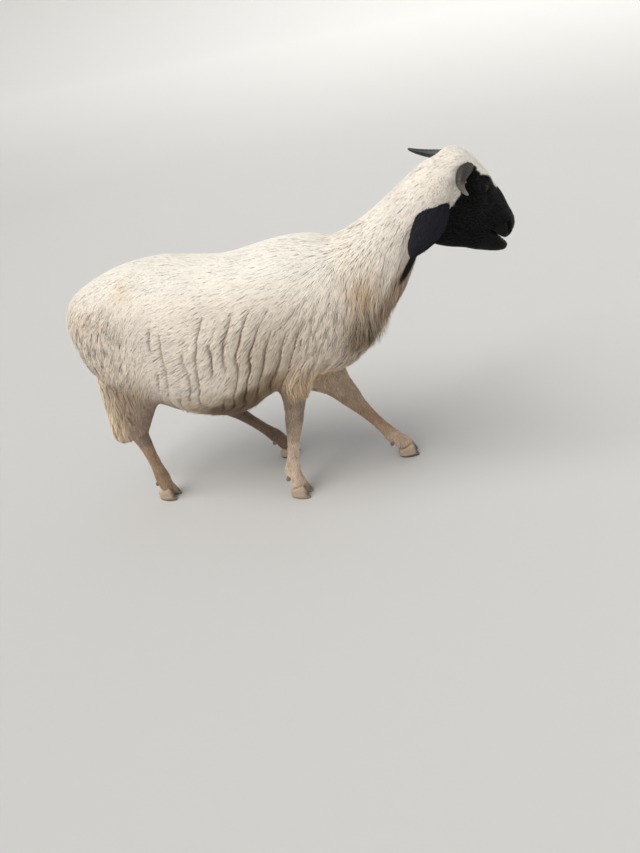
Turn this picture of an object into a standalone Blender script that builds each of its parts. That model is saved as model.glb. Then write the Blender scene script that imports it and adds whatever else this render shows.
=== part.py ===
"""A horned hair sheep, life size and still, walking with its head turned to its left.

Metres. +X points forward, +Y to the animal's left and +Z up; the floor is z = 0. The solids give the outline of
the coat. The body is modelled whole from lofted sections, fused, and parted into head, neck, trunk, tail and legs.
Ears, eyes, horns, claws and dewclaws are solids of their own, seated in sockets with a thin gap.
"""

import math

import bmesh
import bpy
import numpy as np
from mathutils import Matrix, Vector

# Driving sizes
GAP = 0.0003                    # gap between two solids that meet
FUSE_VOXEL = 0.0050             # voxel size that fuses the lofts
BODY_TRIANGLES = 3500           # triangles of the fused body before it is parted
RING_POINTS = 36                # points round a lofted section
LOFT_STEPS = 4                  # rings made from one station to the next
SOFTEN_ROUNDS = 4               # smoothing of the creases where two lofts meet
SHARP_EDGE = math.radians(50)
CRUMB = 0.00002                 # points closer than this are one point

# Trunk stations: x, top, bottom, half width, height of the greatest width
TRUNK = (
    (-0.462, 0.555, 0.470, 0.028, 0.512),
    (-0.450, 0.582, 0.410, 0.074, 0.508),
    (-0.412, 0.607, 0.352, 0.118, 0.500),
    (-0.352, 0.632, 0.322, 0.141, 0.495),
    (-0.280, 0.650, 0.288, 0.153, 0.485),
    (-0.200, 0.657, 0.257, 0.167, 0.465),
    (-0.120, 0.648, 0.247, 0.180, 0.432),
    (-0.040, 0.642, 0.252, 0.184, 0.430),
    (0.040, 0.655, 0.297, 0.173, 0.438),
    (0.110, 0.667, 0.334, 0.153, 0.458),
    (0.180, 0.668, 0.338, 0.134, 0.474),
    (0.245, 0.648, 0.350, 0.118, 0.490),
    (0.295, 0.606, 0.392, 0.094, 0.496),
    (0.326, 0.560, 0.440, 0.048, 0.500),
)
TRUNK_SQUARENESS = 2.25

# Neck stations: centre x, y, z, then the radii towards the nape, towards the throat and sideways
NECK = (
    (0.160, 0.000, 0.530, 0.108, 0.120, 0.095),
    (0.250, 0.000, 0.556, 0.104, 0.128, 0.096),
    (0.320, 0.004, 0.590, 0.094, 0.107, 0.084),
    (0.380, 0.012, 0.636, 0.083, 0.064, 0.070),
    (0.434, 0.024, 0.688, 0.070, 0.048, 0.060),
    (0.480, 0.038, 0.730, 0.060, 0.056, 0.055),
    (0.506, 0.048, 0.748, 0.046, 0.044, 0.042),
)

# Head: its place, and how it is turned left, pitched nose down and leant to the animal's right
HEAD_POLL = (0.508, 0.046, 0.775)
HEAD_YAW = math.radians(32.6)
HEAD_PITCH = math.radians(44.5)
HEAD_LEAN = math.radians(18.0)

# Skull and upper jaw, then lower jaw, in the head's own frame: x from the poll towards the nose, top, bottom,
# half width, height of the greatest width
SKULL = (
    (-0.024, 0.008, -0.055, 0.024, -0.026),
    (-0.008, 0.026, -0.080, 0.044, -0.028),
    (0.020, 0.032, -0.098, 0.054, -0.030),
    (0.052, 0.032, -0.104, 0.058, -0.026),
    (0.082, 0.027, -0.102, 0.060, -0.018),
    (0.110, 0.021, -0.094, 0.053, -0.022),
    (0.142, 0.019, -0.084, 0.043, -0.032),
    (0.172, 0.011, -0.070, 0.037, -0.034),
    (0.202, 0.000, -0.059, 0.034, -0.033),
    (0.224, -0.011, -0.056, 0.028, -0.033),
    (0.235, -0.025, -0.051, 0.015, -0.037),
)
LOWER_JAW = (
    (0.012, -0.066, -0.120, 0.028, -0.088),
    (0.034, -0.060, -0.143, 0.042, -0.098),
    (0.064, -0.060, -0.158, 0.045, -0.104),
    (0.100, -0.060, -0.159, 0.041, -0.103),
    (0.135, -0.058, -0.145, 0.036, -0.098),
    (0.170, -0.057, -0.123, 0.033, -0.090),
    (0.208, -0.058, -0.106, 0.030, -0.082),
    (0.243, -0.060, -0.095, 0.027, -0.077),
    (0.262, -0.064, -0.084, 0.015, -0.074),
)
HEAD_SQUARENESS = 2.3

# Tail stations: centre x, y, z, then the fore-and-aft and the sideways radius
TAIL = (
    (-0.392, 0.000, 0.560, 0.028, 0.032),
    (-0.428, 0.000, 0.548, 0.032, 0.034),
    (-0.450, 0.000, 0.490, 0.028, 0.031),
    (-0.448, 0.000, 0.400, 0.025, 0.028),
    (-0.450, 0.000, 0.300, 0.030, 0.030),
    (-0.454, 0.000, 0.215, 0.035, 0.032),
    (-0.457, 0.000, 0.160, 0.036, 0.031),
    (-0.457, 0.000, 0.139, 0.027, 0.022),
)
TAIL_STEPS = 2
TAIL_POINTS = 14

# Joints of each leg: x, y, z of the shoulder or hip, the elbow or stifle, the knee or hock, the fetlock and the foot
LEG_JOINTS = {
    "leg_front_right": ((0.205, -0.088, 0.500), (0.123, -0.088, 0.389), (0.082, -0.076, 0.227),
                        (0.053, -0.084, 0.076), (0.064, -0.088, 0.030)),
    "leg_front_left": ((0.215, 0.088, 0.490), (0.128, 0.086, 0.305), (0.216, 0.079, 0.178),
                       (0.306, 0.080, 0.066), (0.336, 0.088, 0.030)),
    "leg_hind_right": ((-0.295, -0.085, 0.495), (-0.255, -0.100, 0.385), (-0.345, -0.096, 0.222),
                       (-0.328, -0.090, 0.070), (-0.330, -0.085, 0.030)),
    "leg_hind_left": ((-0.285, 0.085, 0.500), (-0.185, 0.104, 0.365), (-0.158, 0.094, 0.180),
                      (-0.036, 0.092, 0.074), (-0.016, 0.104, 0.032)),
}
ELBOW = 1                       # the elbow's place in a front leg's joints
# Where the claws of each foot stand (x, y of the middle of the foot) and the way they point, in degrees to the left
FEET = {
    "leg_front_right": (0.066, -0.088, -4.0),
    "leg_front_left": (0.342, 0.090, 12.0),
    "leg_hind_right": (-0.327, -0.085, -6.0),
    "leg_hind_left": (-0.012, 0.106, 6.0),
}

# Leg sections: joint the station counts from, share of the way to the next joint, forward, rear and side radius
FORELEG = (
    (0, 0.00, 0.060, 0.075, 0.028),
    (0, 0.55, 0.066, 0.075, 0.044),
    (1, 0.00, 0.056, 0.080, 0.047),
    (1, 0.22, 0.044, 0.060, 0.041),
    (1, 0.55, 0.030, 0.034, 0.030),
    (1, 0.85, 0.0255, 0.0245, 0.0250),
    (2, 0.00, 0.0260, 0.0235, 0.0250),
    (2, 0.18, 0.0210, 0.0205, 0.0210),
    (2, 0.42, 0.0175, 0.0175, 0.0170),
    (2, 0.75, 0.0170, 0.0180, 0.0175),
    (3, 0.00, 0.0205, 0.0250, 0.0215),
    (3, 0.45, 0.0190, 0.0195, 0.0210),
    (3, 1.00, 0.0235, 0.0200, 0.0235),
)
# How much wider the long hair makes the forearm of the leg that is stretched forward
FOREARM_HAIR = {"leg_front_left": 1.28}
HINDLEG = (
    (0, 0.00, 0.095, 0.120, 0.050),
    (0, 0.55, 0.090, 0.128, 0.060),
    (1, 0.00, 0.053, 0.122, 0.056),
    (1, 0.25, 0.032, 0.102, 0.046),
    (1, 0.50, 0.026, 0.081, 0.035),
    (1, 0.78, 0.0230, 0.047, 0.0245),
    (2, 0.00, 0.0225, 0.0300, 0.0225),
    (2, 0.16, 0.0205, 0.0225, 0.0200),
    (2, 0.42, 0.0170, 0.0180, 0.0165),
    (2, 0.76, 0.0165, 0.0180, 0.0165),
    (3, 0.00, 0.0200, 0.0240, 0.0210),
    (3, 0.45, 0.0185, 0.0195, 0.0205),
    (3, 1.00, 0.0230, 0.0195, 0.0230),
)

# Claws
CLAW_LENGTH = 0.056
CLAW_WIDTH = 0.0225
CLAW_TOE_HEIGHT = 0.040
CLAW_HEEL_HEIGHT = 0.020
CLAW_TOP_SHARE = 0.66           # length of the claw's top over the length of its sole
CLAW_SPREAD = math.radians(5.0)
CLAW_SPLIT = 0.0042             # gap between the two claws of a foot, at their middle
CLAW_POINTS = 12
DEWCLAW_LENGTH = 0.020
DEWCLAW_RADIUS = 0.0072
DEWCLAW_BACK = 0.010            # the dewclaw's root behind the fetlock's middle
DEWCLAW_APART = 0.011           # and to the side of it
DEWCLAW_POINTS = 6

# Eyes, ears and horns, in the head's own frame, given for the animal's right side
EYE_CENTRE = (0.079, -0.0445, 0.003)
EYE_RADIUS = 0.0135
EYE_SEGMENTS = 14
EYE_RINGS = 8
EAR_ROOT = (0.0145, -0.046, -0.0640)
EAR_LENGTH = 0.144
EAR_WIDTH = 0.074
EAR_THICKNESS = 0.0046
EAR_BEND = 0.012                # how far the ear bows outwards, at its middle
EAR_CUP = 0.16                  # how far the ear's edges turn in, over its half width
EAR_ROOT_SHARE = 0.22           # how far along the leaf's outline the root cuts it off
EAR_TIP_SHARE = 0.10            # width of the blunt tip over the full width
EAR_RINGS = 9
EAR_POINTS = 12
EAR_HANG = {                    # direction of the ear and of its outer face; 1 is the animal's right ear
    1: ((-0.48, -0.59, -0.66), (0.20, -0.86, 0.46)),
    -1: ((-0.46, 0.52, -0.72), (0.10, 0.85, 0.50)),
}
HORN_CURVE = {                  # root, two handles and tip; 1 is the animal's right horn
    1: ((0.026, -0.026, 0.006), (0.012, -0.055, 0.004), (-0.008, -0.084, -0.030), (0.038, -0.082, -0.027)),
    -1: ((0.026, -0.026, 0.004), (0.016, -0.055, 0.004), (-0.004, -0.078, -0.030), (-0.040, -0.108, -0.048)),
}
HORN_RADIUS = 0.0150
HORN_TIP = 0.0022               # radius left at the tip
HORN_FLATNESS = 0.86            # a horn's thickness over its width
HORN_RINGS = 9
HORN_POINTS = 10

# Where the body is parted. The legs' outlines are x, z corners, anticlockwise.
HEAD_CUT = (-0.014, 0.0, 0.030)
HEAD_CUT_TILT = math.radians(23)
NECK_CUT = (0.270, 0.0, 0.555)
NECK_CUT_TILT = math.radians(26)
FORE_INNER = 0.045
HIND_INNER = 0.034
REGION_OUTER = 0.300
LEG_REGIONS = {
    "leg_front_right": ((0.000, -0.02), (0.200, -0.02), (0.190, 0.200), (0.215, 0.345), (0.185, 0.415),
                        (0.075, 0.400), (0.045, 0.350), (0.000, 0.200)),
    "leg_front_left": ((0.250, -0.02), (0.420, -0.02), (0.420, 0.120), (0.275, 0.340), (0.215, 0.400),
                       (0.075, 0.385), (0.050, 0.325), (0.080, 0.185)),
    "leg_hind_right": ((-0.520, -0.02), (-0.220, -0.02), (-0.235, 0.200), (-0.185, 0.300), (-0.160, 0.400),
                       (-0.200, 0.520), (-0.300, 0.585), (-0.520, 0.570)),
    "leg_hind_left": ((-0.520, -0.02), (0.080, -0.02), (0.040, 0.160), (-0.060, 0.230), (-0.105, 0.250),
                      (-0.105, 0.420), (-0.160, 0.520), (-0.290, 0.585), (-0.520, 0.570)),
}


# ---------------------------------------------------------------------------------------------------------------
# Curves and sections

def through(stations, steps):
    """Rows of a smooth curve through the stations: Catmull-Rom in every column, steps rows to each stretch."""
    rows = np.array(stations, dtype=float)
    before = np.vstack([2 * rows[0] - rows[1], rows, 2 * rows[-1] - rows[-2]])
    out = []
    for i in range(len(rows) - 1):
        a, b, c, d = before[i:i + 4]
        for k in range(steps):
            t = k / steps
            out.append(0.5 * (2 * b + (c - a) * t + (2 * a - 5 * b + 4 * c - d) * t ** 2
                              + (3 * b - a - 3 * c + d) * t ** 3))
    out.append(rows[-1])
    return np.array(out)


def power(value, exponent):
    return math.copysign(abs(value) ** exponent, value)


def section(centre, across, up, half_width, above, below, squareness=2.0, points=RING_POINTS):
    """A closed section round centre: a rounded shape half_width to each side, above and below the centre."""
    ring = []
    for k in range(points):
        angle = 2 * math.pi * k / points
        side = half_width * power(math.cos(angle), 2 / squareness)
        height = power(math.sin(angle), 2 / squareness)
        height *= above if height > 0 else below
        ring.append(Vector(centre) + Vector(across) * side + Vector(up) * height)
    return ring


def mesh_from_rings(name, rings):
    """A closed mesh through the rings, with a point at the middle of each end ring."""
    mesh = bmesh.new()
    loops = [[mesh.verts.new(p) for p in ring] for ring in rings]
    count = len(loops[0])
    for near, far in zip(loops, loops[1:]):
        for k in range(count):
            n = (k + 1) % count
            mesh.faces.new((near[k], near[n], far[n], far[k]))
    for loop, ring in ((loops[0], rings[0]), (loops[-1], rings[-1])):
        pole = mesh.verts.new(sum(ring, Vector()) / count)
        for k in range(count):
            mesh.faces.new((loop[k], loop[(k + 1) % count], pole))
    bmesh.ops.recalc_face_normals(mesh, faces=mesh.faces)
    data = bpy.data.meshes.new(name)
    mesh.to_mesh(data)
    mesh.free()
    return data


def add_object(name, data, material=None):
    thing = bpy.data.objects.new(name, data)
    bpy.context.scene.collection.objects.link(thing)
    if material is not None:
        data.materials.clear()
        data.materials.append(material)
    return thing


def guide(name, data):
    """An object that only cuts or joins others: the model leaves it out."""
    thing = add_object(name, data)
    thing.hide_render = True
    thing.display_type = "WIRE"
    return thing


def settled(thing):
    """The object's mesh with its modifiers applied; the modifiers are then taken off."""
    bpy.context.view_layer.update()
    evaluated = thing.evaluated_get(bpy.context.evaluated_depsgraph_get())
    data = bpy.data.meshes.new_from_object(evaluated)
    thing.modifiers.clear()
    thing.data = data
    return data


def discard(things):
    for thing in things:
        bpy.data.objects.remove(thing, do_unlink=True)


def boolean(thing, other, operation):
    cut = thing.modifiers.new("cut", "BOOLEAN")
    cut.object = other
    cut.operation = operation
    cut.solver = "EXACT"
    settled(thing)


def largest_piece(data):
    """Keeps the largest of the mesh's loose pieces, so that a cut leaves no crumbs."""
    mesh = bmesh.new()
    mesh.from_mesh(data)
    bmesh.ops.remove_doubles(mesh, verts=mesh.verts, dist=CRUMB)
    left = set(mesh.verts)
    pieces = []
    while left:
        start = left.pop()
        piece = {start}
        edge = [start]
        while edge:
            vertex = edge.pop()
            for link in vertex.link_edges:
                other = link.other_vert(vertex)
                if other in left:
                    left.discard(other)
                    piece.add(other)
                    edge.append(other)
        pieces.append(piece)
    pieces.sort(key=len)
    crumbs = [v for piece in pieces[:-1] for v in piece]
    bmesh.ops.delete(mesh, geom=crumbs, context="VERTS")
    bmesh.ops.triangulate(mesh, faces=mesh.faces)
    mesh.to_mesh(data)
    mesh.free()


def shade(data):
    data.shade_smooth()
    data.set_sharp_from_angle(angle=SHARP_EDGE)


# ---------------------------------------------------------------------------------------------------------------
# Materials

def finish(name, colour, roughness, metallic=0.0):
    material = bpy.data.materials.new(name)
    material.use_nodes = True
    shader = material.node_tree.nodes["Principled BSDF"]
    shader.inputs["Base Color"].default_value = (*colour, 1.0)
    shader.inputs["Roughness"].default_value = roughness
    shader.inputs["Metallic"].default_value = metallic
    return material


# ---------------------------------------------------------------------------------------------------------------
# Lofts of the body

def head_frame():
    """Turns the head's own frame (x to the nose, y left, z out of the forehead) into the model's."""
    cy, sy = math.cos(HEAD_YAW), math.sin(HEAD_YAW)
    cp, sp = math.cos(HEAD_PITCH), math.sin(HEAD_PITCH)
    cl, sl = math.cos(HEAD_LEAN), math.sin(HEAD_LEAN)
    forward = Vector((cy * cp, sy * cp, -sp))
    left = Vector((-sy, cy, 0.0))
    crown = forward.cross(left)
    turned = Matrix((forward, left * cl + crown * sl, crown * cl - left * sl)).transposed()
    return Matrix.Translation(HEAD_POLL) @ turned.to_4x4()


def trunk_loft():
    rings = []
    for x, top, bottom, half_width, level in through(TRUNK, LOFT_STEPS):
        rings.append(section((x, 0, level), (0, 1, 0), (0, 0, 1), half_width, top - level, level - bottom,
                             TRUNK_SQUARENESS))
    return guide("trunk_loft", mesh_from_rings("trunk_loft", rings))


def neck_loft():
    rows = through(NECK, LOFT_STEPS)
    centres = [Vector(row[:3]) for row in rows]
    rings = []
    for i, row in enumerate(rows):
        along = (centres[min(i + 1, len(rows) - 1)] - centres[max(i - 1, 0)]).normalized()
        across = Vector((0, 0, 1)).cross(along).normalized()
        nape = along.cross(across)
        rings.append(section(centres[i], across, nape, row[5], row[3], row[4]))
    return guide("neck_loft", mesh_from_rings("neck_loft", rings))


def head_lofts():
    lofts = []
    for name, stations in (("skull_loft", SKULL), ("jaw_loft", LOWER_JAW)):
        rings = []
        for x, top, bottom, half_width, level in through(stations, LOFT_STEPS):
            rings.append(section((x, 0, level), (0, 1, 0), (0, 0, 1), half_width, top - level, level - bottom,
                                 HEAD_SQUARENESS))
        data = mesh_from_rings(name, rings)
        data.transform(head_frame())
        lofts.append(guide(name, data))
    return lofts


def leg_loft(name):
    joints = [Vector(p) for p in LEG_JOINTS[name]]
    profile = FORELEG if "front" in name else HINDLEG
    stations = []
    for joint, share, ahead, behind, side in profile:
        centre = joints[joint].lerp(joints[joint + 1], share)
        wider = FOREARM_HAIR.get(name, 1.0) if joint == ELBOW and share > 0 else 1.0
        stations.append((*centre, ahead * wider, behind * wider, side))
    rows = through(stations, LOFT_STEPS)
    centres = [Vector(row[:3]) for row in rows]
    rings = []
    for i, row in enumerate(rows):
        along = (centres[min(i + 2, len(rows) - 1)] - centres[max(i - 2, 0)]).normalized()
        ahead = Vector((0, 1, 0)).cross(along).normalized()
        if ahead.x < 0:
            ahead.negate()
        rings.append(section(centres[i], along.cross(ahead), ahead, row[5], row[3], row[4]))
    return guide(name + "_loft", mesh_from_rings(name + "_loft", rings))


def fused_body():
    """Trunk, neck, head and legs as one closed mesh."""
    lofts = [trunk_loft(), neck_loft(), *head_lofts(), *(leg_loft(name) for name in LEG_JOINTS)]
    mesh = bmesh.new()
    for loft in lofts:
        mesh.from_mesh(loft.data)
    data = bpy.data.meshes.new("body")
    mesh.to_mesh(data)
    mesh.free()
    discard(lofts)
    body = guide("body", data)
    remesh = body.modifiers.new("fuse", "REMESH")
    remesh.mode = "VOXEL"
    remesh.voxel_size = FUSE_VOXEL
    soften = body.modifiers.new("soften", "SMOOTH")
    soften.factor = 0.5
    soften.iterations = SOFTEN_ROUNDS
    settled(body)
    triangles = sum(len(p.vertices) - 2 for p in body.data.polygons)
    thin = body.modifiers.new("thin", "DECIMATE")
    thin.ratio = BODY_TRIANGLES / triangles
    settled(body)
    return body


# ---------------------------------------------------------------------------------------------------------------
# Solids that are seated in the body. grow makes the slightly larger copy that cuts the socket.

def tail_mesh(name, grow=0.0):
    rows = through(TAIL, TAIL_STEPS)
    centres = [Vector(row[:3]) for row in rows]
    rings = []
    for i, row in enumerate(rows):
        along = (centres[min(i + 1, len(rows) - 1)] - centres[max(i - 1, 0)]).normalized()
        across = Vector((0, 1, 0))
        centre = centres[i] + beyond(i, len(rows) - 1, along, grow)
        rings.append(section(centre, across, along.cross(across), row[4] + grow, row[3] + grow,
                             row[3] + grow, points=TAIL_POINTS))
    return mesh_from_rings(name, rings)


def beyond(i, last, along, grow):
    """How far an end ring of a grown copy is moved out along the curve."""
    if i == 0:
        return along * -grow
    return along * grow if i == last else along * 0.0


def mirrored(point, side):
    """A point given for the animal's right, in the head's frame, taken to the side asked for."""
    return Vector((point[0], point[1] * side, point[2]))


def eye_mesh(name, side, grow=0.0):
    mesh = bmesh.new()
    bmesh.ops.create_uvsphere(mesh, u_segments=EYE_SEGMENTS, v_segments=EYE_RINGS, radius=EYE_RADIUS + grow)
    data = bpy.data.meshes.new(name)
    mesh.to_mesh(data)
    mesh.free()
    data.transform(head_frame() @ Matrix.Translation(mirrored(EYE_CENTRE, side)))
    return data


def ear_mesh(name, side, grow=0.0):
    """A hanging leaf: narrow at the root, cupped, with a blunt tip."""
    frame = head_frame()
    hang = EAR_HANG[side]
    root = frame @ mirrored(EAR_ROOT, side)
    along = Vector(hang[0]).normalized()
    face = Vector(hang[1])
    face = (face - along * face.dot(along)).normalized()
    across = face.cross(along)
    rings = []
    for i in range(EAR_RINGS + 1):
        t = i / EAR_RINGS
        bulge = math.sin(math.pi * min(1.0, EAR_ROOT_SHARE + (1 - EAR_ROOT_SHARE) * t)) ** 0.62
        width = 0.5 * EAR_WIDTH * max(bulge, EAR_TIP_SHARE) + grow
        thick = 0.5 * EAR_THICKNESS * (1.5 - 0.9 * t) + grow
        centre = root + along * (EAR_LENGTH * t) + face * (EAR_BEND * math.sin(math.pi * t))
        centre += beyond(i, EAR_RINGS, along, grow)
        ring = []
        for k in range(EAR_POINTS):
            angle = 2 * math.pi * k / EAR_POINTS
            lean = math.cos(angle)
            cup = -EAR_CUP * width * lean * lean
            ring.append(centre + across * (width * lean) + face * (thick * math.sin(angle) + cup))
        rings.append(ring)
    return mesh_from_rings(name, rings)


def horn_mesh(name, side, grow=0.0):
    """A short horn: out and back from the crown, then down, with its tip turned forward."""
    frame = head_frame()
    points = [frame @ mirrored(p, side) for p in HORN_CURVE[side]]
    rings = []
    for i in range(HORN_RINGS + 1):
        t = i / HORN_RINGS
        a, b, c, d = points
        s = 1 - t
        centre = a * s ** 3 + b * (3 * s * s * t) + c * (3 * s * t * t) + d * t ** 3
        along = ((b - a) * (s * s) + (c - b) * (2 * s * t) + (d - c) * (t * t)).normalized()
        across = along.cross(Vector((0, 0, 1))).normalized()
        centre += beyond(i, HORN_RINGS, along, grow)
        radius = HORN_RADIUS * (1 - t) ** 0.62 + HORN_TIP
        thick = radius * HORN_FLATNESS + grow
        rings.append(section(centre, across, across.cross(along), radius + grow, thick, thick,
                             points=HORN_POINTS))
    return mesh_from_rings(name, rings)


def claw_mesh(name, foot, side, grow=0.0):
    """One claw: a flat sole, a steep toe and a top that slopes down to the heel."""
    x, y, heading = FEET[foot]
    rings = []
    heights = (0.0, 0.12, 0.5, 1.0)
    for h in heights:
        share = 1 - (1 - CLAW_TOP_SHARE) * h
        tuck = 0.94 if h == 0.0 else 1.0
        ring = []
        for k in range(CLAW_POINTS):
            angle = 2 * math.pi * k / CLAW_POINTS
            along = math.cos(angle)
            taper = 1 - 0.30 * max(0.0, along) ** 2
            length = 0.5 * CLAW_LENGTH * share * tuck + grow
            width = (0.5 * CLAW_WIDTH * (1 - 0.10 * h) * tuck + grow) * taper
            px = length * along - 0.5 * CLAW_LENGTH * (1 - share)
            py = width * power(math.sin(angle), 0.8)
            slope = 0.5 + px / (CLAW_LENGTH * CLAW_TOP_SHARE) + 0.5 * (1 - CLAW_TOP_SHARE)
            top = CLAW_HEEL_HEIGHT + (CLAW_TOE_HEIGHT - CLAW_HEEL_HEIGHT) * min(1.0, max(0.0, slope)) + grow
            ring.append(Vector((px, py, top * h - (grow if h == 0.0 else 0.0))))
        rings.append(ring)
    data = mesh_from_rings(name, rings)
    spread = Matrix.Rotation(side * CLAW_SPREAD, 4, "Z")
    apart = Matrix.Translation((0, side * 0.5 * (CLAW_WIDTH + CLAW_SPLIT), 0))
    data.transform(Matrix.Translation((x, y, 0)) @ Matrix.Rotation(math.radians(heading), 4, "Z") @ apart @ spread)
    return data


def dewclaw_mesh(name, foot, side, grow=0.0):
    """A short blunt horn behind the fetlock, pointing down and back."""
    fetlock, coronet = (Vector(p) for p in LEG_JOINTS[foot][3:5])
    heading = math.radians(FEET[foot][2])
    back = Vector((-math.cos(heading), -math.sin(heading), 0))
    left = Vector((-math.sin(heading), math.cos(heading), 0))
    down = (coronet - fetlock).normalized()
    root = fetlock.lerp(coronet, 0.22) + back * DEWCLAW_BACK + left * (side * DEWCLAW_APART)
    along = (down * 0.72 + back * 0.70).normalized()
    across = along.cross(left).normalized()
    rings = []
    for i, t in enumerate((0.0, 0.6, 1.0)):
        radius = DEWCLAW_RADIUS * (1 - 0.45 * t * t) + grow
        centre = root + along * (DEWCLAW_LENGTH * t) + beyond(i, 2, along, grow)
        rings.append(section(centre, left, across, radius, radius, radius, points=DEWCLAW_POINTS))
    return mesh_from_rings(name, rings)


# ---------------------------------------------------------------------------------------------------------------
# Parting the body

def box_region(name, frame, low, high, grow):
    mesh = bmesh.new()
    bmesh.ops.create_cube(mesh, size=1.0)
    data = bpy.data.meshes.new(name)
    mesh.to_mesh(data)
    mesh.free()
    size = [h - l + 2 * grow for l, h in zip(low, high)]
    middle = [(h + l) / 2 for l, h in zip(low, high)]
    data.transform(frame @ Matrix.Translation(middle) @ Matrix.Diagonal((*size, 1.0)))
    return guide(name, data)


def outset(corners, distance):
    """The closed outline moved outwards by distance, with mitred corners; the corners run anticlockwise."""
    out = []
    count = len(corners)
    for i in range(count):
        before, here, after = (Vector(corners[(i + k) % count]) for k in (-1, 0, 1))
        n1 = (here - before).normalized()
        n2 = (after - here).normalized()
        n1 = Vector((n1.y, -n1.x))
        n2 = Vector((n2.y, -n2.x))
        mitre = (n1 + n2) / (1 + n1.dot(n2))
        out.append(here + mitre * distance)
    return out


def prism_region(name, corners, inner, outer, side, grow):
    """A side-view outline pushed sideways from inner to outer, on the side asked for."""
    outline = outset(corners, grow)
    near, far = (side * (inner - grow), side * (outer + grow))
    mesh = bmesh.new()
    rings = [[mesh.verts.new((p.x, y, p.y)) for p in outline] for y in (near, far)]
    count = len(outline)
    for k in range(count):
        n = (k + 1) % count
        mesh.faces.new((rings[0][k], rings[0][n], rings[1][n], rings[1][k]))
    for ring in rings:
        mesh.faces.new(ring)
    bmesh.ops.recalc_face_normals(mesh, faces=mesh.faces)
    bmesh.ops.triangulate(mesh, faces=[f for f in mesh.faces if len(f.verts) > 4])
    data = bpy.data.meshes.new(name)
    mesh.to_mesh(data)
    mesh.free()
    return guide(name, data)


def part_off(body, name, region, material):
    """Takes what lies in the region off the body as an object of its own, a thin gap away."""
    piece = add_object(name, body.data.copy(), material)
    inside = region(0.0)
    boolean(piece, inside, "INTERSECT")
    outside = region(GAP)
    boolean(body, outside, "DIFFERENCE")
    discard([inside, outside])
    largest_piece(piece.data)
    largest_piece(body.data)
    return piece


def leg_region(name):
    side = 1 if name.endswith("left") else -1
    corners = LEG_REGIONS[name]
    inner = FORE_INNER if "front" in name else HIND_INNER
    return lambda grow: prism_region("region", corners, inner, REGION_OUTER, side, grow)


def head_region(grow):
    frame = head_frame() @ Matrix.Translation(HEAD_CUT) @ Matrix.Rotation(-HEAD_CUT_TILT, 4, "Y")
    return box_region("region", frame, (0.0, -0.15, -0.27), (0.40, 0.15, 0.15), grow)


def neck_region(grow):
    frame = Matrix.Translation(NECK_CUT) @ Matrix.Rotation(-NECK_CUT_TILT, 4, "Y")
    return box_region("region", frame, (0.0, -0.25, -0.22), (0.45, 0.25, 0.26), grow)


# ---------------------------------------------------------------------------------------------------------------

def stand_on_origin(things):
    """Moves the model so that the origin is under the middle of its box, on the floor."""
    corners = np.array([v.co for thing in things for v in thing.data.vertices])
    low, high = corners.min(axis=0), corners.max(axis=0)
    shift = Matrix.Translation((-(low[0] + high[0]) / 2, -(low[1] + high[1]) / 2, -low[2]))
    for thing in things:
        thing.data.transform(shift)


def main():
    for thing in list(bpy.data.objects):
        bpy.data.objects.remove(thing, do_unlink=True)
    fleece = finish("fleece", (0.72, 0.68, 0.60), 0.85)
    black_hair = finish("black_hair", (0.012, 0.012, 0.014), 0.60)
    leg_hair = finish("leg_hair", (0.36, 0.31, 0.25), 0.80)
    horn = finish("horn", (0.16, 0.15, 0.14), 0.50)
    hoof = finish("hoof", (0.06, 0.05, 0.045), 0.55)
    eye = finish("eye", (0.02, 0.012, 0.008), 0.12)

    makers = {"tail": (lambda name, grow=0.0: tail_mesh(name, grow), fleece)}
    for side, word in ((-1, "right"), (1, "left")):
        mirror = -side
        makers["ear_" + word] = (lambda name, grow=0.0, s=mirror: ear_mesh(name, s, grow), black_hair)
        makers["eye_" + word] = (lambda name, grow=0.0, s=mirror: eye_mesh(name, s, grow), eye)
        makers["horn_" + word] = (lambda name, grow=0.0, s=mirror: horn_mesh(name, s, grow), horn)
    for foot in FEET:
        for side, word in ((-1, "right"), (1, "left")):
            label = foot.replace("leg_", "")
            makers["claw_" + label + "_" + word] = (
                lambda name, grow=0.0, f=foot, s=side: claw_mesh(name, f, s, grow), hoof)
            makers["dewclaw_" + label + "_" + word] = (
                lambda name, grow=0.0, f=foot, s=side: dewclaw_mesh(name, f, s, grow), hoof)

    body = fused_body()
    seated = []
    for name, (make, material) in makers.items():
        socket = guide("socket", make("socket", GAP))
        boolean(body, socket, "DIFFERENCE")
        discard([socket])
        seated.append(add_object(name, make(name), material))

    parts = [part_off(body, "head", head_region, black_hair), part_off(body, "neck", neck_region, fleece)]
    for name in LEG_JOINTS:
        parts.append(part_off(body, name, leg_region(name), leg_hair))
    parts.append(add_object("trunk", body.data.copy(), fleece))
    discard([body])

    stand_on_origin(seated + parts)
    for thing in seated + parts:
        shade(thing.data)


main()
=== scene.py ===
"""Looks of the horned hair sheep: its skin, face, eyes, ears, horns and claws, and a coat of solid locks.

Metres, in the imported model's frame: +X forward, +Y to the animal's left, +Z up, floor at z = 0. Places on
the body are counted from BODY_ORIGIN. Places on the head are in the head's own frame: x to the nose, y to the
animal's left, z out of the forehead. For eyes, ears and horns, side 1 is the animal's right and -1 its left.
"""

import itertools
import math
from collections import namedtuple

import bmesh
import bpy
import numpy as np
from mathutils import Matrix, Vector
from mathutils.bvhtree import BVHTree
from mathutils.kdtree import KDTree


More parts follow.
